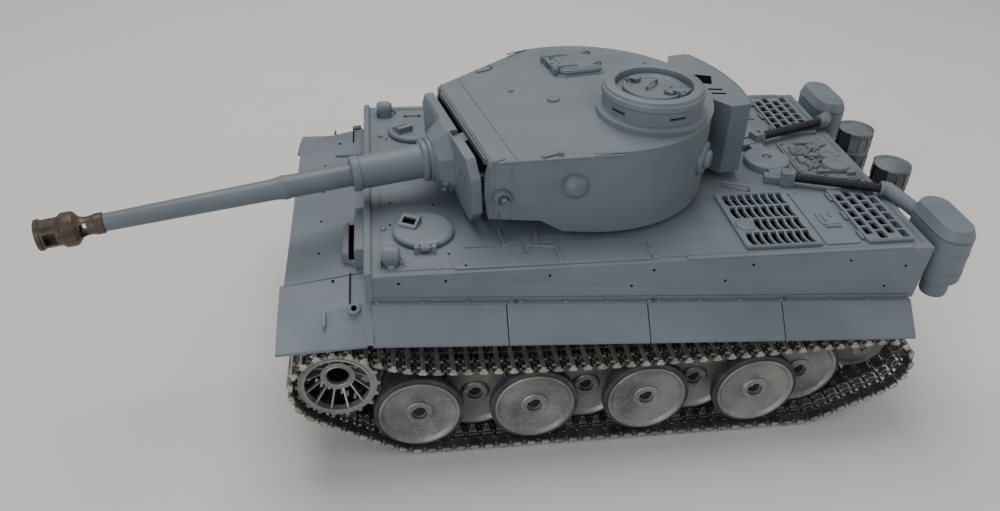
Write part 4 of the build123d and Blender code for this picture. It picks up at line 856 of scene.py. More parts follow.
def make_visor():
    """Driver's visor: a block, a lower slab that narrows forward, and the dark slit between them."""
    low, high = box_mm("driver_visor")
    base, top = glacis_z(low.x) - 1.0, high.z
    face, slit, lip = low.x + 8.2, low.x + 11.4, low.x + 15.0
    into = across(VISOR_Y - VISOR_WIDTH / 2)
    block = bmesh.new()
    add_prism(block, ((low.x, base), (low.x, top), (face - 1.2, top), (face, top - 1.2), (face, base)), into,
              VISOR_WIDTH)
    before = len(block.verts)
    add_prism(block, ((face - 0.5, base), (face - 0.5, base + 3.0), (slit, base + 3.0), (slit, top - 6.4),
                      (slit + 1.0, top - 6.3), (lip, top - 7.8), (lip, base - 1.2)), into, VISOR_WIDTH)
    block.verts.ensure_lookup_table()
    for vert in block.verts[before:]:
        taper = 2.0 + 6.0 * max(0.0, (vert.co.x - face) / (lip - face))
        vert.co.y += taper if vert.co.y < VISOR_Y else -taper
    hull_piece("visor_housing", block, replaces=("driver_visor",), bevel=0.35)
    glass = bmesh.new()
    opening = VISOR_WIDTH - 9.0
    add_box(glass, ((face + slit) / 2, VISOR_Y, base + 3.3), (slit - face, opening, 1.0))
    add_box(glass, (face + 0.1, VISOR_Y, base + 6.4), (0.5, opening, 6.0))
    hull_piece("visor_slit", glass, DARK)


def make_bow_gun():
    """Bow gun in its ball mount."""
    low, high = box_mm("bow_gun")
    y, z = (low.y + high.y) / 2, (low.z + high.z) / 2
    reach = high.x - low.x
    mount = bmesh.new()
    add_lathe(mount, ((0, -0.2), (6.4, -0.2), (6.4, 1.2), (5.6, 2.4), (4.4, 2.8), (4.1, 2.2), (4.0, 2.6),
                      (3.6, 3.9), (2.7, 5.2), (1.9, 5.9), (1.9, 7.0), (1.5, 7.0), (1.5, 12.0), (1.2, 12.0),
                      (1.2, reach - 0.6), (0.9, reach), (0.6, reach), (0.6, reach - 3), (0, reach - 3)),
              (low.x, y, z), X, steps=40)
    hull_piece("bow_gun_mount", mount, BARREL, replaces=("bow_gun",))


def make_headlights():
    """Headlights on their feet, with lenses and cables."""
    high = box_mm("headlights")[1]
    foot_height = (high.z - DECK_Z) / 2
    centre_z = high.z - 4.2
    x = high.x - 1.2
    lamps, lenses = bmesh.new(), bmesh.new()
    for side in SIGNS:
        # The photograph shows the lamps a little further in than the CAD ones
        y = side * (high.y - 8.6)
        front = (x, y, centre_z + 0.5)
        add_lathe(lamps, ((0, -10.4), (2.6, -10.2), (4.2, -9.0), (4.7, -7.0), (4.7, -1.6), (3.6, -0.9),
                          (3.4, 0.0), (2.9, 0.0), (2.8, -0.8), (0, -0.8)), front, X, steps=36)
        add_box(lamps, (x - 5.4, y, centre_z - 1.6), (6.6, 8.6, 5.4))
        add_rod(lamps, (x - 5.4, y, DECK_Z), Z, foot_height, 2.6, 2.0, sides=20)
        add_lathe(lamps, ((2.1, 0), (2.1, 1.0), (1.2, 1.9), (0, 2.1)), (x - 5.4, y + side * 5.4, DECK_Z), Z,
                  steps=20)
        add_tube(lamps, [(x - 9.8, y, centre_z - 1), (x - 12.0, y + side * 2.0, centre_z - 3.4),
                         (x - 12.6, y + side * 4.5, DECK_Z)], 0.5, sides=8)
        add_lathe(lenses, ((2.8, -0.9), (2.8, -0.5), (2.0, -0.2), (0, 0.0)), front, X, steps=30)
    hull_piece("headlight_lamps", lamps, replaces=("headlights",))
    hull_piece("headlight_lenses", lenses, LENS)


# Turn of the periscope cowls about the vertical
COWL_TURN = radians(-27)


def make_crew_hatches():
    """Round hatches in the hull roof, each with a periscope cowl and a hinge."""
    for side, body in ((1, "driver_hatch"), (-1, "radio_operator_hatch")):
        low, high = box_mm(body)
        x = (low.x + high.x) / 2
        radius = (high.x - low.x) / 2
        y = side * (low.y + radius if side > 0 else -high.y + radius)
        lid = bmesh.new()
        base = low.z
        add_lathe(lid, ((0, base), (radius - 0.6, base), (radius, base + 0.5), (radius, base + 1.9),
                        (radius - 0.5, base + 2.6), (radius - 1.4, base + 3.1), (radius - 2.8, base + 3.3),
                        (0, base + 3.4)), (x, y, 0), Z, steps=72)
        # Periscope cowl: a wedge that opens towards the side, turned a little
        cowl = Matrix.Translation((x + 7.2, y - side * 3.6, base)) @ Matrix.Rotation(side * COWL_TURN, 4, "Z")
        lift = Matrix(((0, 0, 1, 0), (side, 0, 0, 0), (0, 1, 0, 0), (0, 0, 0, 1)))
        add_prism(lid, ((-5.2, 2.8), (-4.6, 7.0), (-2.6, 7.4), (4.0, 4.6), (4.4, 2.8)),
                  cowl @ Matrix.Translation((-5.0, 0, 0)) @ lift, 10.0)
        notch = bmesh.new()
        slope = Matrix.Rotation(side * -atan2(2.8, 6.6), 4, "X")
        add_box(notch, cowl @ Vector((0, side * 0.6, 6.4)), (7.4, 4.2, 3.4), cowl.to_3x3().to_4x4() @ slope)
        lid = cut(lid, notch)
        pin = joint_mm(f"{body}_hinge")[0]
        add_box(lid, (x, side * (abs(pin.y) - 2.6), pin.z - 0.9), (4.6, 5.0, 2.0))
        add_rod(lid, (x - 2.3, pin.y, pin.z), X, 4.6, 1.8, sides=20)
        make(f"{body}_lid", lid, body, "hull_plastic", HULL, replaces=(body,), bevel=0.18)
        shade = bmesh.new()
        add_box(shade, cowl @ Vector((0, side * 0.6, 4.95)), (7.3, 4.1, 0.4), cowl.to_3x3().to_4x4() @ slope)
        make(f"{body}_periscope", shade, body, "hull_plastic", DARK, bevel=0.1)


# Turret -----------------------------------------------------------------------------------
CUPOLA_LOW, CUPOLA_HIGH = box_mm("cupola")
# The cupola's axis in the turret's frame; only its x and y are used
CUPOLA = TURRET.inverted() @ ((CUPOLA_LOW + CUPOLA_HIGH) / 2)
ROOF_Z = CUPOLA_LOW.z
SHELL_R = 72.0
FRONT_X, FRONT_HALF = 74.0, 49.5
ROOF_BREAK_X, ROOF_FRONT_Z = 6.0, 160.0
WALL_TOUCH = (atan2(FRONT_HALF, FRONT_X)
              + atan2((hypot(FRONT_X, FRONT_HALF) ** 2 - SHELL_R ** 2) ** 0.5, SHELL_R))


def wall_y(x):
    """Half width of the turret at x on its straight side."""
    return (SHELL_R - x * cos(WALL_TOUCH)) / sin(WALL_TOUCH)


def roof_z(x):
    """Height of the turret roof, which slopes down ahead of its crease."""
    share = max(0.0, (x - ROOF_BREAK_X) / (FRONT_X - ROOF_BREAK_X))
    return ROOF_Z + (ROOF_FRONT_Z - ROOF_Z) * share


def make_turret_shell():
    """Turret shell with its seams, edge strips, cheeks and roof studs."""
    moulding("turret_shell", "turret", "turret_plastic", TURRET_SKIN, 0.45)
    seams = bmesh.new()
    slope = atan2(ROOF_Z - ROOF_FRONT_Z, FRONT_X - ROOF_BREAK_X)
    tilt = Matrix.Rotation(slope, 4, "Y")
    # Front edge strip of the roof and the bead behind it
    for x, width, height in ((69.5, 7.0, 0.9), (60.5, 0.9, 0.5)):
        add_box(seams, (x, 0, roof_z(x) + 0.2), (width, 2 * wall_y(x) - 2.0, height), tilt)
    add_box(seams, (73.5, 0, 157.2), (3.0, 86.0, 3.4))
    # Pointed cheeks beside the mantlet and bead along the top edge of each side wall
    for side in SIGNS:
        cheek = ((68.0, 158.0), (74.0, 160.0), (76.2, 150.0), (76.6, 141.0), (74.4, 126.0), (68.0, 126.0))
        add_prism(seams, cheek, across(side * (wall_y(74.0) - 3.2), side), 3.4)
        for z0, z1 in ((150.5, 157.5), (126.5, 134.5)):
            add_box(seams, (63.4, side * (wall_y(63.4) + 0.1), (z0 + z1) / 2), (0.6, 0.6, z1 - z0))
        add_box(seams, (72.4, side * (wall_y(72.4) - 1.2), 143), (4.4, 3.4, 32.0))
        bead = [(x, side * (wall_y(x) + 0.1), roof_z(x) - 0.4) for x in (70, 50, 30, 10)]
        add_tube(seams, bead, 0.6, sides=8)
        # Sight notch and small slit near the front corner
        add_box(seams, (44, side * (wall_y(44) - 4.0), roof_z(44) + 0.3), (9.0, 3.4, 1.4), tilt)
        add_wedge(seams, (39, side * (wall_y(39) - 4.0), roof_z(39) + 0.9), (3.0, 3.8, 2.0), (0.5, 0.8), tilt)
    # Rim bead round the arc of the roof
    arc = [(SHELL_R * cos(a), SHELL_R * sin(a), ROOF_Z - 0.5) for a in
           (WALL_TOUCH + (2 * pi - 2 * WALL_TOUCH) * k / 60 for k in range(61))]
    add_tube(seams, [(x * 1.0015, y * 1.0015, z) for x, y, z in arc], 0.45, sides=6)
    for x, y, radius, height in ((20, 0, 3.6, 1.2), (-40, -8, 1.6, 1.6), (-52, -30, 1.3, 1.5),
                                 (38, -22, 1.4, 1.2)):
        add_lathe(seams, ((radius, -0.5), (radius, height * 0.6), (radius - 0.5, height), (0, height)),
                  (x, y, roof_z(x)), Z, steps=28)
    turret_piece("turret_seams", seams, bevel=0.15)


def make_turret_fittings():
    """Ports, bosses, launcher stubs and lifting eyes on the turret wall."""
    fittings = bmesh.new()
    for angle in (radians(135), radians(-135)):
        out = Vector((cos(angle), sin(angle), 0))
        add_lathe(fittings, ((9.6, -1.4), (9.6, 1.4), (9.0, 2.2), (7.2, 2.6), (6.6, 2.0), (5.4, 2.0),
                             (5.2, 4.2), (4.4, 4.9), (1.6, 5.0), (1.4, 4.2), (0, 4.2)),
                  out * (SHELL_R - 0.3) + Z * 145, out, steps=48)
    for side in SIGNS:
        x, z = 31.5, 148.0
        add_lathe(fittings, ((7.6, -1.0), (7.4, 0.4), (5.8, 2.6), (4.0, 3.9), (3.2, 4.2), (0, 4.3)),
                  (x, side * wall_y(x), z), Y * side, steps=40)
        x, z = 68.0, 140.0
        add_lathe(fittings, ((4.9, -1.0), (4.9, 1.6), (4.6, 2.6), (4.2, 3.6), (3.0, 3.6), (2.9, 2.2),
                             (1.9, 2.2), (1.9, 5.6), (1.5, 6.4), (0.7, 6.4), (0.6, 5.8), (0, 5.8)),
                  (x, side * wall_y(x), z), Y * side, steps=36)
        dome(fittings, (50.0, side * (wall_y(50) - 0.1), 152.0), Y * side, 0.6, 0.5)
        # Lifting eye low on the wall behind the mantlet
        eye = ((0, 131), (1.1, 130.2), (1.1, 127.6), (0, 127))
        add_tube(fittings, [(70, side * (wall_y(70) + out), z) for out, z in eye], 0.5, sides=8)
    turret_piece("turret_wall_fittings", fittings,
         replaces=("turret_fittings",))


LID_HINGE = TURRET.inverted() @ joint_mm("commander_hatch_hinge")[0]
LID_ANGLE = atan2(LID_HINGE.y - CUPOLA.y, LID_HINGE.x - CUPOLA.x)
LID_PIN = hypot(LID_HINGE.y - CUPOLA.y, LID_HINGE.x - CUPOLA.x)
LID_PIN_Z = LID_HINGE.z
LID_PLACE = Matrix.Translation((CUPOLA.x, CUPOLA.y, 0)) @ Matrix.Rotation(LID_ANGLE, 4, "Z")
LID_SPIN = Matrix.Rotation(LID_ANGLE, 4, "Z")
SLIT_TURNS = [Matrix.Rotation(radians(21 + 72 * k), 4, "Z") for k in range(5)]


def make_cupola():
    """Stepped drum cupola with five vision slits and the lugs of its lid."""
    def ring_of_boxes(bm, radius, rise, size):
        """A box at each vision slit."""
        for turn in SLIT_TURNS:
            centre = Vector((CUPOLA.x, CUPOLA.y, ROOF_Z + 7.9 + rise))
            add_box(bm, centre + turn.to_3x3() @ Vector((radius, 0, 0)), size, turn)

    drum = bmesh.new()
    add_lathe(drum, (
        (30.5, -0.6), (30.5, 2.2), (30.2, 3.0), (29.2, 3.7), (28.0, 4.0), (27.5, 4.2), (27.5, 4.6),
        (27.3, 4.8), (27.3, 11.2), (27.5, 11.5), (28.0, 11.8), (28.3, 12.2), (28.3, 14.4), (27.9, 15.2),
        (27.2, 15.4), (27.0, 16.2), (26.6, 17.0), (25.6, 17.4), (22.4, 17.4), (21.5, 17.0), (21.2, 16.2),
        (21.0, 13.0), (15.0, 12.9), (15.0, -0.6),
    ), (CUPOLA.x, CUPOLA.y, ROOF_Z), Z, steps=128, closed=True)
    slits = bmesh.new()
    ring_of_boxes(slits, 28.0, 0, (4.4, 9.4, 1.3))
    drum = cut(drum, slits)
    # Raised lips above and below each slit
    for rise in (-1.15, 1.15):
        ring_of_boxes(drum, 26.9, rise, (1.3, 10.2, 0.45))
    for dy in (-3.4, 3.4):
        add_box(drum, LID_PLACE @ Vector((LID_PIN, dy, LID_PIN_Z - 1.6)), (2.6, 1.5, 4.6), LID_SPIN)
    add_rod(drum, LID_PLACE @ Vector((LID_PIN, -4.8, LID_PIN_Z)), LID_PLACE.to_3x3() @ Y, 9.6, 0.75, sides=12)
    turret_piece("cupola_drum", drum, replaces=("cupola",))
    glass = bmesh.new()
    ring_of_boxes(glass, 25.6, 0, (0.8, 9.6, 1.5))
    turret_piece("cupola_blocks", glass, material=DARK, bevel=0.1)


def make_commander_lid():
    """Dished lid of the cupola with its hinge arm, grip and catch lever."""
    low = box_mm("commander_hatch")[0].z
    lid = bmesh.new()
    add_lathe(lid, ((0, 0), (16.6, 0), (17.0, 0.4), (17.0, 1.9), (16.4, 2.5), (15.4, 2.5), (15.0, 2.0),
                    (12.9, 1.7), (12.5, 1.2), (6, 1.35), (0, 1.4)), (CUPOLA.x, CUPOLA.y, low), Z, steps=88)

    def local(x, y, z):
        """A point measured from the cupola's axis towards the hinge."""
        return LID_PLACE @ Vector((x, y, z))

    add_box(lid, local(LID_PIN - 3.2, 0, LID_PIN_Z - 0.7), (6.6, 4.6, 2.0), LID_SPIN)
    add_rod(lid, local(LID_PIN, -2.3, LID_PIN_Z), LID_PLACE.to_3x3() @ Y, 4.6, 1.5, sides=16)
    add_box(lid, local(LID_PIN - 8.0, 0, low + 2.1), (5.0, 7.0, 1.2), LID_SPIN)
    for x, y, radius in ((13.0, 4.6, 1.0), (13.0, -4.6, 1.0), (8.6, 3.4, 0.8), (8.6, -3.4, 0.8),
                         (15.2, 1.8, 0.7)):
        add_rod(lid, local(x, y, low + 1.4), Z, 2.2, radius, radius * 0.8, sides=10)
    # Grip across the middle, bent from round bar, and the catch lever
    add_tube(lid, [local(-1.4, y, z) for y, z in ((-5.6, low + 1.2), (-5.4, low + 3.2), (-4.4, low + 3.9),
                                                  (0, low + 4.0), (4.4, low + 3.9), (5.4, low + 3.2),
                                                  (5.6, low + 1.2))], 0.75, sides=10)
    add_box(lid, local(-12.4, 0.4, low + 3.0), (5.4, 2.2, 1.6), LID_SPIN)
    lever = ((-10.4, -0.6, 3.2), (-13.4, -1.6, 3.6), (-15.4, -4.6, 3.4))
    add_tube(lid, [local(x, y, low + rise) for x, y, rise in lever], 0.7, sides=10)
    add_rod(lid, local(-11.0, 2.8, low + 1.6), Z, 2.0, 1.3, 1.1, sides=16)
    turret_piece("commander_lid", lid, "commander_hatch",
         replaces=("commander_hatch",), bevel=0.12)


def rounded(length, width, radius, steps=6):
    """Outline of a rectangle with round corners."""
    points = []
    for cx, cy, start in ((1, 1, 0), (-1, 1, pi / 2), (-1, -1, pi), (1, -1, 3 * pi / 2)):
        for k in range(steps + 1):
            angle = start + pi / 2 * k / steps
            points.append((cx * (length / 2 - radius) + radius * cos(angle),
                           cy * (width / 2 - radius) + radius * sin(angle)))
    return points


# Middle of the loader's hatch, across the turret
LOADER_Y = -40.0


def make_loader_hatch():
    """Rectangular roof hatch with two hinge straps ahead and two catches behind."""
    pin = TURRET.inverted() @ joint_mm("loader_hatch_hinge")[0]
    length, width = 27.0, 31.0
    centre = Vector((pin.x - 2.0 - length / 2, LOADER_Y, box_mm("loader_hatch")[0].z))
    lid = bmesh.new()
    for size, low, high in ((0.0, 0.0, 1.5), (-1.6, 1.5, 2.1), (-6.0, 2.1, 2.5)):
        add_prism(lid, rounded(length + size, width + size, 4.5 + size / 3),
                  Matrix.Translation(centre + Z * low), high - low)
    for dy in (-5.5, 5.5):
        add_wedge(lid, centre + Vector((length / 2 - 3.0, dy * 1.5, 2.9)), (13.0, 3.2, 1.6), (0.9, 0.6))
        add_box(lid, centre + Vector((length / 2 - 10.0, dy * 1.5, 2.6)), (5.0, 2.0, 1.2))
        catch = ((-13.6, 0.8), (-14.6, 2.6), (-12.2, 3.4), (-9.2, 2.6))
        add_tube(lid, [centre + Vector((x, dy * 1.6, z)) for x, z in catch], 0.7, sides=8)
    add_rod(lid, (pin.x, LOADER_Y - 3.6, pin.z), Y, 7.2, 1.5, sides=18)
    add_box(lid, (pin.x - 2.4, LOADER_Y, pin.z - 0.7), (5.2, 6.8, 1.6))
    turret_piece("loader_lid", lid, "loader_hatch",
         replaces=("loader_hatch",), bevel=0.2)
    lugs = bmesh.new()
    for dy in (-10.0, 10.0):
        add_rod(lugs, (pin.x, LOADER_Y + dy - 1.6, pin.z), Y, 3.2, 1.6, sides=18)
        add_box(lugs, (pin.x + 0.2, LOADER_Y + dy, pin.z - 1.6), (3.2, 3.0, 3.0))
    add_rod(lugs, (pin.x, LOADER_Y - 12.6, pin.z), Y, 25.2, 0.7, sides=12)
    turret_piece("loader_hinge", lugs, bevel=0.15)


# Middle of the stowage bin, across the turret
BIN_Y = -6.0


def make_bin():
    """Stowage bin: curved box with a rim and catches, and the dark openings of its lid."""
    moulding("stowage_bin", "turret", "turret_plastic", TURRET_SKIN, 0.7)
    top = box_mm("stowage_bin")[1].z
    extras = bmesh.new()
    for dy in (26.0, 0.0, -26.0):
        add_box(extras, (-88.8 - 6 * cos(radians(dy * 2.2)), BIN_Y + dy, top - 4.4), (1.6, 4.4, 6.0))
    rim = [(-89.6 - 6.9 * (1 - (dy / 39.0) ** 2), BIN_Y + dy, top - 0.3) for dy in range(-37, 39, 4)]
    add_tube(extras, rim, 0.75, sides=8)
    turret_piece("bin_lid_trim", extras, bevel=0.2)
    vents = bmesh.new()
    add_box(vents, (-79.6, -5.8, top), (10.6, 12.0, 0.5), Matrix.Rotation(radians(-28), 4, "Z"))
    for x, y in ((-79.4, 9.4), (-78.6, 15.2)):
        add_box(vents, (x, y, top), (8.6, 1.6, 0.5), Matrix.Rotation(radians(-20), 4, "Z"))
    turret_piece("bin_slots", vents, material=DARK, bevel=0.1)


# Gun --------------------------------------------------------------------------------------
BORE_Z = TRUNNION_LOCAL.z
BORE = Vector((0, 0, BORE_Z))


GUN_BORE = 6.9


def make_mantlet():
    """Mantlet with its block, sleeve, bolts and trunnions."""
    plate = bmesh.new()
    half, base, top = 50.0, 122.6, 161.0
    outline = [(-half, base + 9), (-half + 8, base), (half - 8, base), (half, base + 9), (half, top - 9),
               (half - 8, top), (-half + 8, top), (-half, top - 9)]
    # The outline is drawn in y and z, and extruded forward
    forward = Matrix(((0, 0, 1, 78.2), (1, 0, 0, 0), (0, 1, 0, 0), (0, 0, 0, 1)))
    add_prism(plate, outline, forward, 5.6)
    # Eight-sided block round the gun
    before = len(plate.verts)
    add_lathe(plate, ((GUN_BORE, 83.0), (21.5, 83.0), (21.5, 84.6), (15.6, 92.0), (GUN_BORE, 92.0)), BORE, X,
              steps=8, closed=True)
    plate.verts.ensure_lookup_table()
    bmesh.ops.rotate(plate, cent=BORE, matrix=Matrix.Rotation(pi / 8, 3, "X"), verts=plate.verts[before:])
    soften(plate, 0.9)
    # Sight openings, the notch in the top edge and the barrel's bore
    holes = bmesh.new()
    for y, z in ((30, 146), (38, 146), (-31, 143)):
        add_rod(holes, (70, y, z), X, 22, 2.0, sides=20)
    add_box(holes, (80.0, 13.0, top), (6.0, 9.0, 6.0))
    add_rod(holes, (60, 0, BORE_Z), X, 60, GUN_BORE, sides=48)
    plate = cut(plate, holes)
    add_lathe(plate, (
        (GUN_BORE, 90.0), (14.4, 90.0), (14.4, 92.4), (12.6, 93.0), (12.4, 93.2), (12.4, 94.6), (11.5, 95.0),
        (11.0, 95.2), (11.0, 95.9), (11.9, 96.2), (11.9, 97.7), (11.4, 98.2), (10.2, 98.5), (9.6, 98.9),
        (9.2, 133.2), (9.9, 133.8), (9.9, 137.3), (9.5, 138.0), (GUN_BORE, 138.0),
    ), BORE, X, steps=96, closed=True)
    for angle in (radians(205), radians(232)):
        dome(plate, (88.0, -18.2 * cos(angle), BORE_Z + 18.2 * sin(angle)), X, 1.5, 2.6)
    for side in SIGNS:
        add_box(plate, (70.6, side * 34, BORE_Z), (15.4, 4.0, 8.0))
        add_rod(plate, (66, side * 32, BORE_Z), Y * side, 11.5, 2.8, sides=28)
    make("mantlet_casting", plate, "gun_mount", "turret_plastic", TURRET_SKIN, place=GUN,
         replaces=("mantlet",))


def make_barrel():
    """Sliding barrel and its two-baffle muzzle brake."""
    barrel = bmesh.new()
    add_lathe(barrel, (
        (0, 56), (6.4, 56), (6.4, 172.6), (6.7, 173.2), (6.7, 175.4), (6.3, 176.4), (5.75, 181.0),
        (4.75, 266.2), (4.75, 267.0), (2.6, 267.0), (2.6, 150.0), (0, 150.0),
    ), BORE, X, steps=72)
    add_box(barrel, (43, 0, BORE_Z), (28, 15, 18))
    make("gun_tube", barrel, "gun", "barrel_plastic", BARREL, place=GUN, replaces=("gun_barrel",), bevel=0.3)

    brake = bmesh.new()
    add_lathe(brake, (
        (3.4, 267.0), (5.0, 267.0), (5.6, 267.5), (5.6, 271.2), (5.2, 271.8), (5.2, 272.4), (4.9, 273.4),
        (4.95, 276.4), (5.6, 278.2), (7.4, 279.8), (8.7, 280.8), (9.1, 281.9), (9.1, 286.2), (8.6, 287.2),
        (7.7, 288.0), (7.5, 289.2), (7.5, 296.8), (8.2, 297.4), (8.2, 299.0), (7.7, 299.5), (4.0, 299.5),
        (3.4, 298.8),
    ), BORE, X, steps=80, closed=True)
    ports = bmesh.new()
    for x, size in ((277.0, 3.6), (292.8, 6.0)):
        add_box(ports, (x, 0, BORE_Z), (size, 24.0, 7.0))
    brake = cut(brake, ports)
    make("muzzle_brake_casting", brake, "gun", "brake_plastic", BRAKE, place=GUN, replaces=("muzzle_brake",))


# Rear deck --------------------------------------------------------------------------------
# Ends of the left hose's middle line in x and y, its height and its radius
HOSE_START, HOSE_END, HOSE_Z, HOSE_R = (-171.6, 26.8), (-221.5, 44.8), 122.2, 2.8
# Length of the filter's socket over the hose's end
COLLAR = 4.4
INTAKE_X = -165.0
GRILLE_Y, GRILLE_WIDTH = 64.0, 56.0
# Middle and length of each grille along x
FRONT_GRILLE = (-140.5, 43.0)
REAR_GRILLE = (-201.0, 27.0)


def hose_ends(side):
    """Both ends of one hose."""
    return (Vector((HOSE_START[0], side * HOSE_START[1], HOSE_Z)),
            Vector((HOSE_END[0], side * HOSE_END[1], HOSE_Z)))




# Length of the curved slots, how far they bow and their half width
LOUVRE_LENGTH, LOUVRE_BOW, LOUVRE_HALF = 11.8, 1.1, 1.65


def louvre():
    """Outline of one slot of the front grilles, which bows forward in the middle."""
    ys = [-LOUVRE_LENGTH / 2 + LOUVRE_LENGTH * k / 10 for k in range(11)]
    edge = [(LOUVRE_BOW * (1 - (y / 6) ** 2), y) for y in ys]
    return [(x + LOUVRE_HALF, y) for x, y in edge] + [(x - LOUVRE_HALF, y) for x, y in reversed(edge)]


def make_grilles():
    """Cast air grilles: rows of curved louvres ahead, staggered slots behind."""
    for side, hand in SIDES:
        plate = bmesh.new()
        holes = bmesh.new()
        for x, length in (FRONT_GRILLE, REAR_GRILLE):
            add_prism(plate, rounded(length, GRILLE_WIDTH, 1.5, steps=3),
                      Matrix.Translation((x, side * GRILLE_Y, DECK_Z)), 1.9)
        x, length = FRONT_GRILLE
        for column in range(8):
            for row in range(4):
                if column > 5 and row == 2:
                    # The filler cap stands here
                    continue
                slot_x = x - (length - 6) / 2 + (column + 0.5) * (length - 6) / 8
                slot_y = side * (GRILLE_Y + (row - 1.5) * 13.2)
                add_prism(holes, louvre(), Matrix.Translation((slot_x - 0.5, slot_y, DECK_Z - 2)), 6)
        x, length = REAR_GRILLE
        for column in range(4):
            shift = column % 2
            for row in range(6 - shift):
                slot_x = x + (column - 1.5) * 6.4
                slot_y = side * (GRILLE_Y + (row - (5 - shift) / 2) * 8.7)
                add_prism(holes, rounded(4.3, 7.3, 0.6, steps=2),
                          Matrix.Translation((slot_x, slot_y, DECK_Z - 2)), 6)
        plate = cut(plate, holes)
        for x, length in (FRONT_GRILLE, REAR_GRILLE):
            for dy in (-GRILLE_WIDTH / 2 + 1.2, GRILLE_WIDTH / 2 - 1.2):
                add_box(plate, (x, side * (GRILLE_Y + dy), DECK_Z + 1.6), (length - 1, 1.0, 1.4))
        soften(plate, 0.25, segments=1)
        # Filler cap let into the front grille
        x, length = FRONT_GRILLE
        add_lathe(plate, ((5.6, 0.0), (5.6, 2.2), (5.0, 3.0), (3.6, 3.2), (3.2, 2.8), (0, 2.9)),
                  (x + length / 2 - 6.5, side * (GRILLE_Y + 7), DECK_Z), Z, steps=36)
        hull_piece(f"{hand}_deck_grilles", plate,
             replaces=("deck_grilles",) if side > 0 else ())
        # Dark well under the openings
        well = bmesh.new()
        for x, length in (FRONT_GRILLE, REAR_GRILLE):
            add_prism(well, rounded(length - 3.0, GRILLE_WIDTH - 3.0, 2.0), Matrix.Translation(
                (x, side * GRILLE_Y, DECK_Z - 4.4)), 1.0)
        hull_piece(f"{hand}_grille_well", well, DARK)


def make_deck_panels():
    """Panels between the grilles with their latch plates and clamps."""
    panels = bmesh.new()
    for side in SIGNS:
        add_prism(panels, rounded(20.0, 54.0, 2.0), Matrix.Translation((-174.2, side * 64, DECK_Z)), 0.7)
        add_prism(panels, rounded(11.0, 13.0, 1.5),
                  Matrix.Translation((-175.5, side * 66, DECK_Z + 0.7)), 0.7)
        add_box(panels, (-175.5, side * 74.5, DECK_Z + 1.2), (9.0, 1.8, 1.2))
        add_box(panels, (-173.0, side * 66, DECK_Z + 1.7), (1.2, 7.0, 1.0))
        add_box(panels, (-177.6, side * 64, DECK_Z + 1.7), (1.0, 4.0, 1.0))
        add_prism(panels, rounded(12.0, 4.6, 1.6), Matrix.Translation((-165.0, side * 36, DECK_Z)), 1.0)
        for y in (44, 64, 84):
            add_box(panels, (-186.4, side * y, DECK_Z + 0.8), (1.6, 8.0, 1.2))
    hull_piece("deck_panels", panels, bevel=0.18)


def make_engine_cover():
    """Cover over the engine with its vents and pipework."""
    low, high = box_mm("engine_cover")
    x = (low.x + high.x) / 2
    cover = bmesh.new()
    add_prism(cover, rounded(high.x - low.x, high.y - low.y, 5.0), Matrix.Translation((x, 0, DECK_Z)), 1.3)
    add_prism(cover, rounded(high.x - low.x - 3, high.y - low.y - 3, 4.0),
              Matrix.Translation((x, 0, DECK_Z + 1.3)), 0.5)
    vents = ((-6, 11, 8.4, 3.0), (-7, -2, 5.6, 2.6), (7, 8, 4.2, 2.2), (10, -9, 5.0, 2.4),
             (-3, -15, 4.4, 2.2))
    for dx, dy, radius, height in vents:
        add_lathe(cover, ((radius, 0), (radius, height * 0.5), (radius - 0.8, height), (radius * 0.6, height),
                          (radius * 0.55, height - 0.7), (0, height - 0.5)),
                  (x + dx, dy, DECK_Z + 1.6), Z, steps=40)
    for dx, dy, size in ((3.0, -2.0, (6.5, 4.5, 2.6)), (12.0, 2.0, (5.0, 9.0, 2.0)),
                         (-12.0, 20.0, (6.0, 4.0, 2.2)), (4.0, 17.0, (10.0, 3.4, 1.8)),
                         (2.0, -20.0, (12.0, 3.0, 1.8))):
        add_wedge(cover, (x + dx, dy, DECK_Z + 1.8 + size[2] / 2), size, (0.8, 0.75))
    randomness = random.Random(7)
    for _ in range(16):
        dx, dy = randomness.uniform(-16, 16), randomness.uniform(-23, 23)
        dome(cover, (x + dx, dy, DECK_Z + 1.8), Z, randomness.uniform(0.6, 1.3), randomness.uniform(0.8, 1.8))
    # Small pipes that rise in the middle
    for start, end in (((-13, -18), (9, -2)), ((12, 14), (-4, 2)), ((13, -16), (2, 4)),
                       ((-15, 3), (-10, 20))):
        middle = ((start[0] + end[0]) / 2 + 2, (start[1] + end[1]) / 2 - 1.5)
        bends = ((start, 2.2), (middle, 3.8), (end, 2.2))
        add_tube(cover, [(x + dx, dy, DECK_Z + rise) for (dx, dy), rise in bends], 0.7, sides=8)
    hull_piece("engine_cover_plate", cover, ENGINE, replaces=("engine_cover",), bevel=0.2)


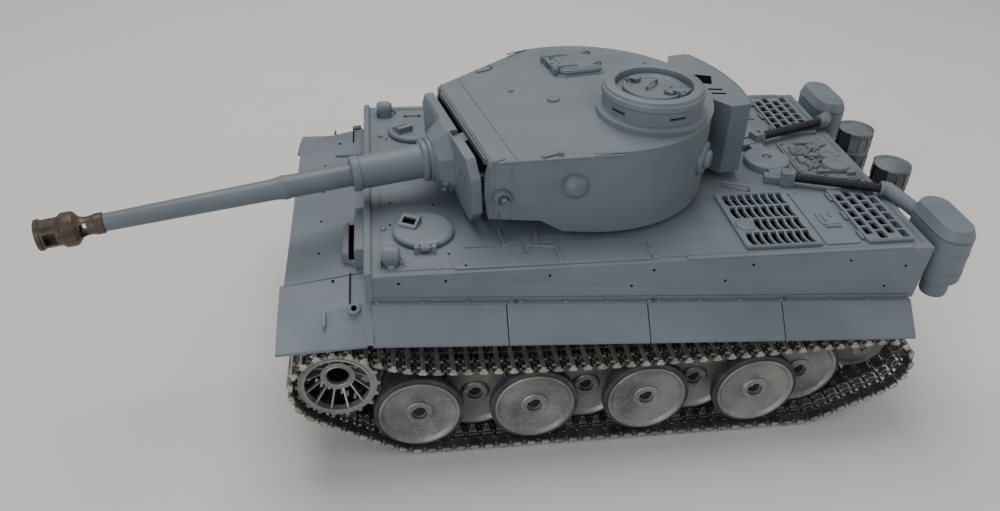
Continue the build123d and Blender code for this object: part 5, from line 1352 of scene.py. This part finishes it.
def make_intake_cap():
    """Round intake cap with a stub for each hose."""
    cap = bmesh.new()
    add_lathe(cap, ((14.0, 0.0), (14.0, 2.6), (13.7, 3.9), (12.6, 4.7), (8.0, 5.2), (3.2, 5.3), (3.0, 4.2),
                    (0, 4.2)), (INTAKE_X, 0, DECK_Z), Z, steps=80)
    for k in range(4):
        angle = pi / 2 * k + 0.6
        add_box(cap, polar(2.4, angle) + Vector((INTAKE_X, 0, DECK_Z + 4.9)), (1.8, 1.0, 1.0),
                Matrix.Rotation(angle, 4, "Z"))
    add_box(cap, (INTAKE_X, 0, DECK_Z + 1.9), (9.0, 46.0, 3.8))
    for side in SIGNS:
        start, end = hose_ends(side)
        run = (end - start).normalized()
        turn = Matrix.Rotation(atan2(run.y, run.x), 4, "Z")
        start.z = DECK_Z
        add_wedge(cap, start - run * 4 + Z * 4.3, (8.0, 9.0, 8.6), (0.9, 0.8), turn)
        add_lathe(cap, ((4.3, -3.0), (4.3, -0.9), (4.0, -0.2), (3.4, 0.0), (0, 0.0)), start + Z * 5.2, run,
                  steps=36)
        add_box(cap, start - run * 12 + Z * 2.2 - Y * side * 1.0, (10.0, 6.6, 4.4), turn)
    hull_piece("intake_cap_casting", cap, replaces=("intake_cap",), bevel=0.3)


def make_grab_handle():
    """Low handle bent from round bar, on the deck ahead of the left front grille."""
    handle = bmesh.new()
    front, rear = Vector((-128.0, 25.0, DECK_Z)), Vector((-142.0, 32.0, DECK_Z))
    bends = ((0, -0.5), (0, 2.2), (0.05, 2.9), (0.12, 3.1), (0.88, 3.1), (0.95, 2.9), (1, 2.2), (1, -0.5))
    add_tube(handle, [front.lerp(rear, share) + Z * rise for share, rise in bends], 0.7, sides=12)
    hull_piece("grab_handle_bar", handle, replaces=("grab_handle",))


SHIELD_INNER, SHIELD_OUTER = 10.4, 11.6
# Half of the angle that each shield leaves open at the front, and the angle of its sheet
SHIELD_GAP = radians(52)
SHIELD_SWEEP = 2 * pi - 2 * SHIELD_GAP


def exhaust_shield(x, y, foot, top):
    """An open sheet round the pipe, with rolled ribs and pressed flutes."""
    sheet = bmesh.new()
    steps = 40
    # Height of each ring and how far the sheet lies behind its ribs there
    levels = ((foot, 0.0), (foot + 1.2, -0.5), (foot + 2.4, -0.7), (foot + 14, -0.7), (foot + 15, 0.0),
              (foot + 16, -0.7), (foot + 28, -0.7), (foot + 29, 0.0), (foot + 30, -0.7), (top - 2.4, -0.7),
              (top - 1.2, 0.0), (top, 0.0))
    rings = []
    for z, swell in levels:
        for radius in (SHIELD_OUTER + swell, SHIELD_INNER):
            angles = [SHIELD_GAP + SHIELD_SWEEP * k / steps for k in range(steps + 1)]
            rings.append([sheet.verts.new((x + radius * cos(a), y + radius * sin(a), z)) for a in angles])
    for level in range(len(levels) - 1):
        outside, inside, next_out, next_in = rings[2 * level:2 * level + 4]
        for k in range(steps):
            sheet.faces.new((outside[k], outside[k + 1], next_out[k + 1], next_out[k]))
            sheet.faces.new((inside[k + 1], inside[k], next_in[k], next_in[k + 1]))
        for k in (0, steps):
            sheet.faces.new((outside[k], next_out[k], next_in[k], inside[k]))
    for outside, inside in ((rings[0], rings[1]), (rings[-2], rings[-1])):
        for k in range(steps):
            sheet.faces.new((outside[k], outside[k + 1], inside[k + 1], inside[k]))
    for k in range(9):
        angle = SHIELD_GAP + 0.25 + (SHIELD_SWEEP - 0.5) * k / 8
        spot = Vector((x + 11.1 * cos(angle), y + 11.1 * sin(angle), 0))
        for z in (foot + 8, foot + 22, foot + 36):
            add_box(sheet, spot + Z * z, (0.7, 4.4, 8.6), Matrix.Rotation(angle, 4, "Z"))
    return sheet


def make_exhausts():
    """Exhaust pipes, each in its sheet shield under a flat cap."""
    low, high = box_mm("exhaust_shields")
    foot, top = low.z, high.z
    x = low.x + SHIELD_OUTER
    for side, hand in SIDES:
        y = side * 24.0
        sheet = exhaust_shield(x, y, foot, top)
        make(f"{hand}_exhaust_shield", sheet, "hull", "exhaust_metal", EXHAUST,
             replaces=("exhaust_shields",) if side > 0 else ())
        pipe = bmesh.new()
        add_lathe(pipe, ((5.4, foot - 4), (8.2, foot - 4), (8.2, top - 1.0), (5.4, top - 1.0)), (x, y, 0), Z,
                  steps=48)
        close_caps(pipe)
        add_box(pipe, (x + 10.6, y, foot - 3.2), (9.9, 8.0, 5.0))
        cap = bmesh.new()
        add_lathe(cap, ((0, -1.2), (9.8, -1.2), (10.2, -0.6), (10.2, -0.1), (9.4, 0.5), (8.4, 0.5),
                        (8.0, -0.1), (3.0, 0.5), (0, 0.6)), (x, y, top), Z, steps=48)
        for k in range(3):
            dome(cap, Vector((x, y, top)) + polar(9.0, 2.1 * k + 0.4, 0.4), Z, 0.8, 0.7)
        make(f"{hand}_exhaust_cap", cap, "hull", "exhaust_metal", EXHAUST)
        make(f"{hand}_exhaust_pipe", pipe, "hull", "exhaust_metal", SOOT,
             replaces=("exhaust_pipes",) if side > 0 else (), bevel=0.2)


def slot_outline(length, width, steps=14):
    """A slot along Y with round ends."""
    radius, reach = width / 2, (length - width) / 2
    return ([(radius * cos(pi * k / steps), reach + radius * sin(pi * k / steps)) for k in range(steps + 1)]
            + [(radius * cos(pi + pi * k / steps), -reach + radius * sin(pi + pi * k / steps))
               for k in range(steps + 1)])




FILTER_Y = 80.0


def make_filters():
    """Air filters on the rear corners and their inlet pipes."""
    low, high = box_mm("air_filters")
    x, top = low.x + 10.7, high.z
    body = bmesh.new()
    for side in SIGNS:
        y = side * FILTER_Y
        place = Matrix.Translation((x, y, 0))
        for length, z0, z1 in ((43.0, 93.0, 119.4), (41.8, 92.0, 93.0), (42.0, 119.4, 120.0),
                               (43.2, 120.0, 121.2)):
            add_prism(body, slot_outline(length, 21.4 - (43 - length)),
                      place @ Matrix.Translation((0, 0, z0)), z1 - z0)
        # Bevelled crown
        base, crown = slot_outline(43.0, 21.2), slot_outline(38.6, 16.8)
        lower = [body.verts.new(place @ Vector((u, v, 121.2))) for u, v in base]
        upper = [body.verts.new(place @ Vector((u, v, top))) for u, v in crown]
        body.faces.new(upper)
        body.faces.new(list(reversed(lower)))
        for i in range(len(base)):
            j = (i + 1) % len(base)
            body.faces.new((lower[i], lower[j], upper[j], upper[i]))
        for dy in (-10, 10):
            add_lathe(body, ((0, 80.0), (5.4, 80.0), (6.8, 80.8), (7.5, 82.4), (7.5, 90.0), (7.9, 90.4),
                             (7.9, 92.2), (0, 92.2)), (x, y + dy, 0), Z, steps=36)
        for z in (98.0, 110.0):
            add_prism(body, slot_outline(43.6, 22.0), place @ Matrix.Translation((0, 0, z)), 1.0)
        add_box(body, (x + 12.9, y, 104), (5.0, 14, 8))
        # Bent inlet pipe with two rings round its socket
        start, end = hose_ends(side)
        run = (end - start).normalized()
        into = Vector((-11.5, side * 17.5, -6.0))
        path = [end - run * COLLAR, end - run * 2.0, end, end + into * 0.25, end + into * 0.6, end + into]
        add_tube(body, path, 4.2, sides=28)
        for ahead in (0.0, 2.0):
            spot = end + run * (ahead + 0.4 - COLLAR)
            add_lathe(body, ((4.0, 0), (4.5, 0.1), (4.5, 1.0), (4.0, 1.1)), spot, run, steps=32, closed=True)
    hull_piece("air_filter_housings", body, replaces=("air_filters",), bevel=0.3)


def make_hoses():
    """Ribbed rubber hoses from the intake cap to the air filters."""
    ribs = 26
    # One rib as shares of its length and how far the hose lies under its crest there
    rib = ((0.0, 0.2), (0.25, 0.06), (0.5, 0.0), (0.75, 0.06))
    for side, hand in SIDES:
        start, end = hose_ends(side)
        length = (end - start).length - COLLAR
        along = (end - start).normalized()
        hose = bmesh.new()
        points, radii = [], []
        for k in range(ribs):
            for share, under in rib:
                points.append(start + along * length * (k + share) / ribs)
                radii.append(HOSE_R - under)
        points.append(start + along * length)
        radii.append(HOSE_R - 0.2)
        add_tube(hose, points, HOSE_R, sides=24, radii=radii)
        piece = make(f"{hand}_air_hose", hose, "hull", "hose_rubber", HOSE,
                     replaces=("air_hoses",) if side > 0 else ())


# Everything inside keeps its CAD shape ----------------------------------------------------
def finish_inside():
    """Materials of the pieces that the casings hide, and of the arms behind the wheels."""
    for node in ("gearboxes", "speaker", "control_board"):
        finish_node(node, INNER)
    for node in ("drive_motors", "traverse_motor", "elevation_motor"):
        finish_node(node, MOTOR)
    finish_node("battery_pack", WRAP)
    finish_node("suspension_arms", ARM)


make_mouldings()
make_screws()
make_pits()
make_deck_bars()
make_mudguard_fittings()
make_visor()
make_bow_gun()
make_headlights()
make_crew_hatches()
make_tracks()
make_wheels()
make_sprockets()
make_idlers()
make_turret_shell()
make_turret_fittings()
make_cupola()
make_commander_lid()
make_loader_hatch()
make_bin()
make_mantlet()
make_barrel()
make_grilles()
make_deck_panels()
make_engine_cover()
make_intake_cap()
make_grab_handle()
make_exhausts()
make_filters()
make_hoses()
moulding("tow_shackles", "hull", "hull_plastic", HULL, 0.5)
finish_inside()


# Floor, light and camera ------------------------------------------------------------------
FLOOR_R = 3000.0


def make_floor():
    """A plain pale round floor."""
    bm = bmesh.new()
    outline = [polar(FLOOR_R, 2 * pi * k / 96).to_2d() for k in range(96)]
    add_prism(bm, outline, Matrix.Translation((0, 0, -10.0)), 10.0)
    mesh = bpy.data.meshes.new("floor")
    bmesh.ops.transform(bm, matrix=TO_METRES, verts=bm.verts)
    bm.to_mesh(mesh)
    bm.free()
    shader = Shader("floor_pale", roughness=0.7, specular=0.3)
    colour = shader.mix(shader.noise(6, detail=3.0), (0.60, 0.58, 0.55), (0.64, 0.62, 0.59))
    mesh.materials.append(shader.finish(colour))
    new_object("floor", mesh)


def add_light(name, place, target, size, power, colour=(1, 1, 1)):
    """A soft square light aimed at target."""
    lamp = bpy.data.lights.new(name, "AREA")
    lamp.shape = "SQUARE"
    lamp.size = size
    lamp.energy = power
    lamp.color = colour
    light = new_object(name, lamp)
    light.location = place
    light.rotation_euler = (Vector(target) - Vector(place)).to_track_quat("-Z", "Y").to_euler()


# Where the photograph was taken from, solved from the tank's own edges
CAMERA_PLACE = Vector((66.06, 455.64, 377.07))
CAMERA_YAW, CAMERA_PITCH, CAMERA_ROLL = radians(-8.21), radians(34.77), radians(1.76)
CAMERA_LENS = 31.52


def make_camera():
    """The camera looks down on the left side from ahead of the middle."""
    yaw, pitch, roll = CAMERA_YAW, CAMERA_PITCH, CAMERA_ROLL
    forward = Vector((sin(yaw) * cos(pitch), -cos(yaw) * cos(pitch), -sin(pitch)))
    right = forward.cross(Z).normalized()
    up = right.cross(forward)
    turned_right = right * cos(roll) + up * sin(roll)
    turned_up = up * cos(roll) - right * sin(roll)
    data = bpy.data.cameras.new("camera")
    data.lens = CAMERA_LENS
    data.sensor_width = 36.0
    data.clip_start = 0.01
    camera = new_object("camera", data)
    axes = Matrix((turned_right, turned_up, -forward)).transposed().to_4x4()
    camera.matrix_world = Matrix.Translation(CAMERA_PLACE * MM) @ axes
    bpy.context.scene.camera = camera


make_floor()
add_light("overhead_soft", (0.05, -0.45, 1.40), (0, 0, 0.08), 1.1, 17.0, (1.0, 0.985, 0.96))
add_light("front_fill", (0.85, 1.25, 0.62), (0, 0, 0.08), 1.2, 12.0, (0.80, 0.91, 1.0))
add_light("rear_fill", (-1.1, 0.3, 0.6), (0, 0, 0.1), 0.8, 3.0, (1.0, 0.98, 0.95))
world = bpy.data.worlds.new("studio")
bpy.context.scene.world = world
world.use_nodes = True
world.node_tree.nodes["Background"].inputs["Color"].default_value = (0.88, 0.90, 0.94, 1.0)
world.node_tree.nodes["Background"].inputs["Strength"].default_value = 0.42
make_camera()
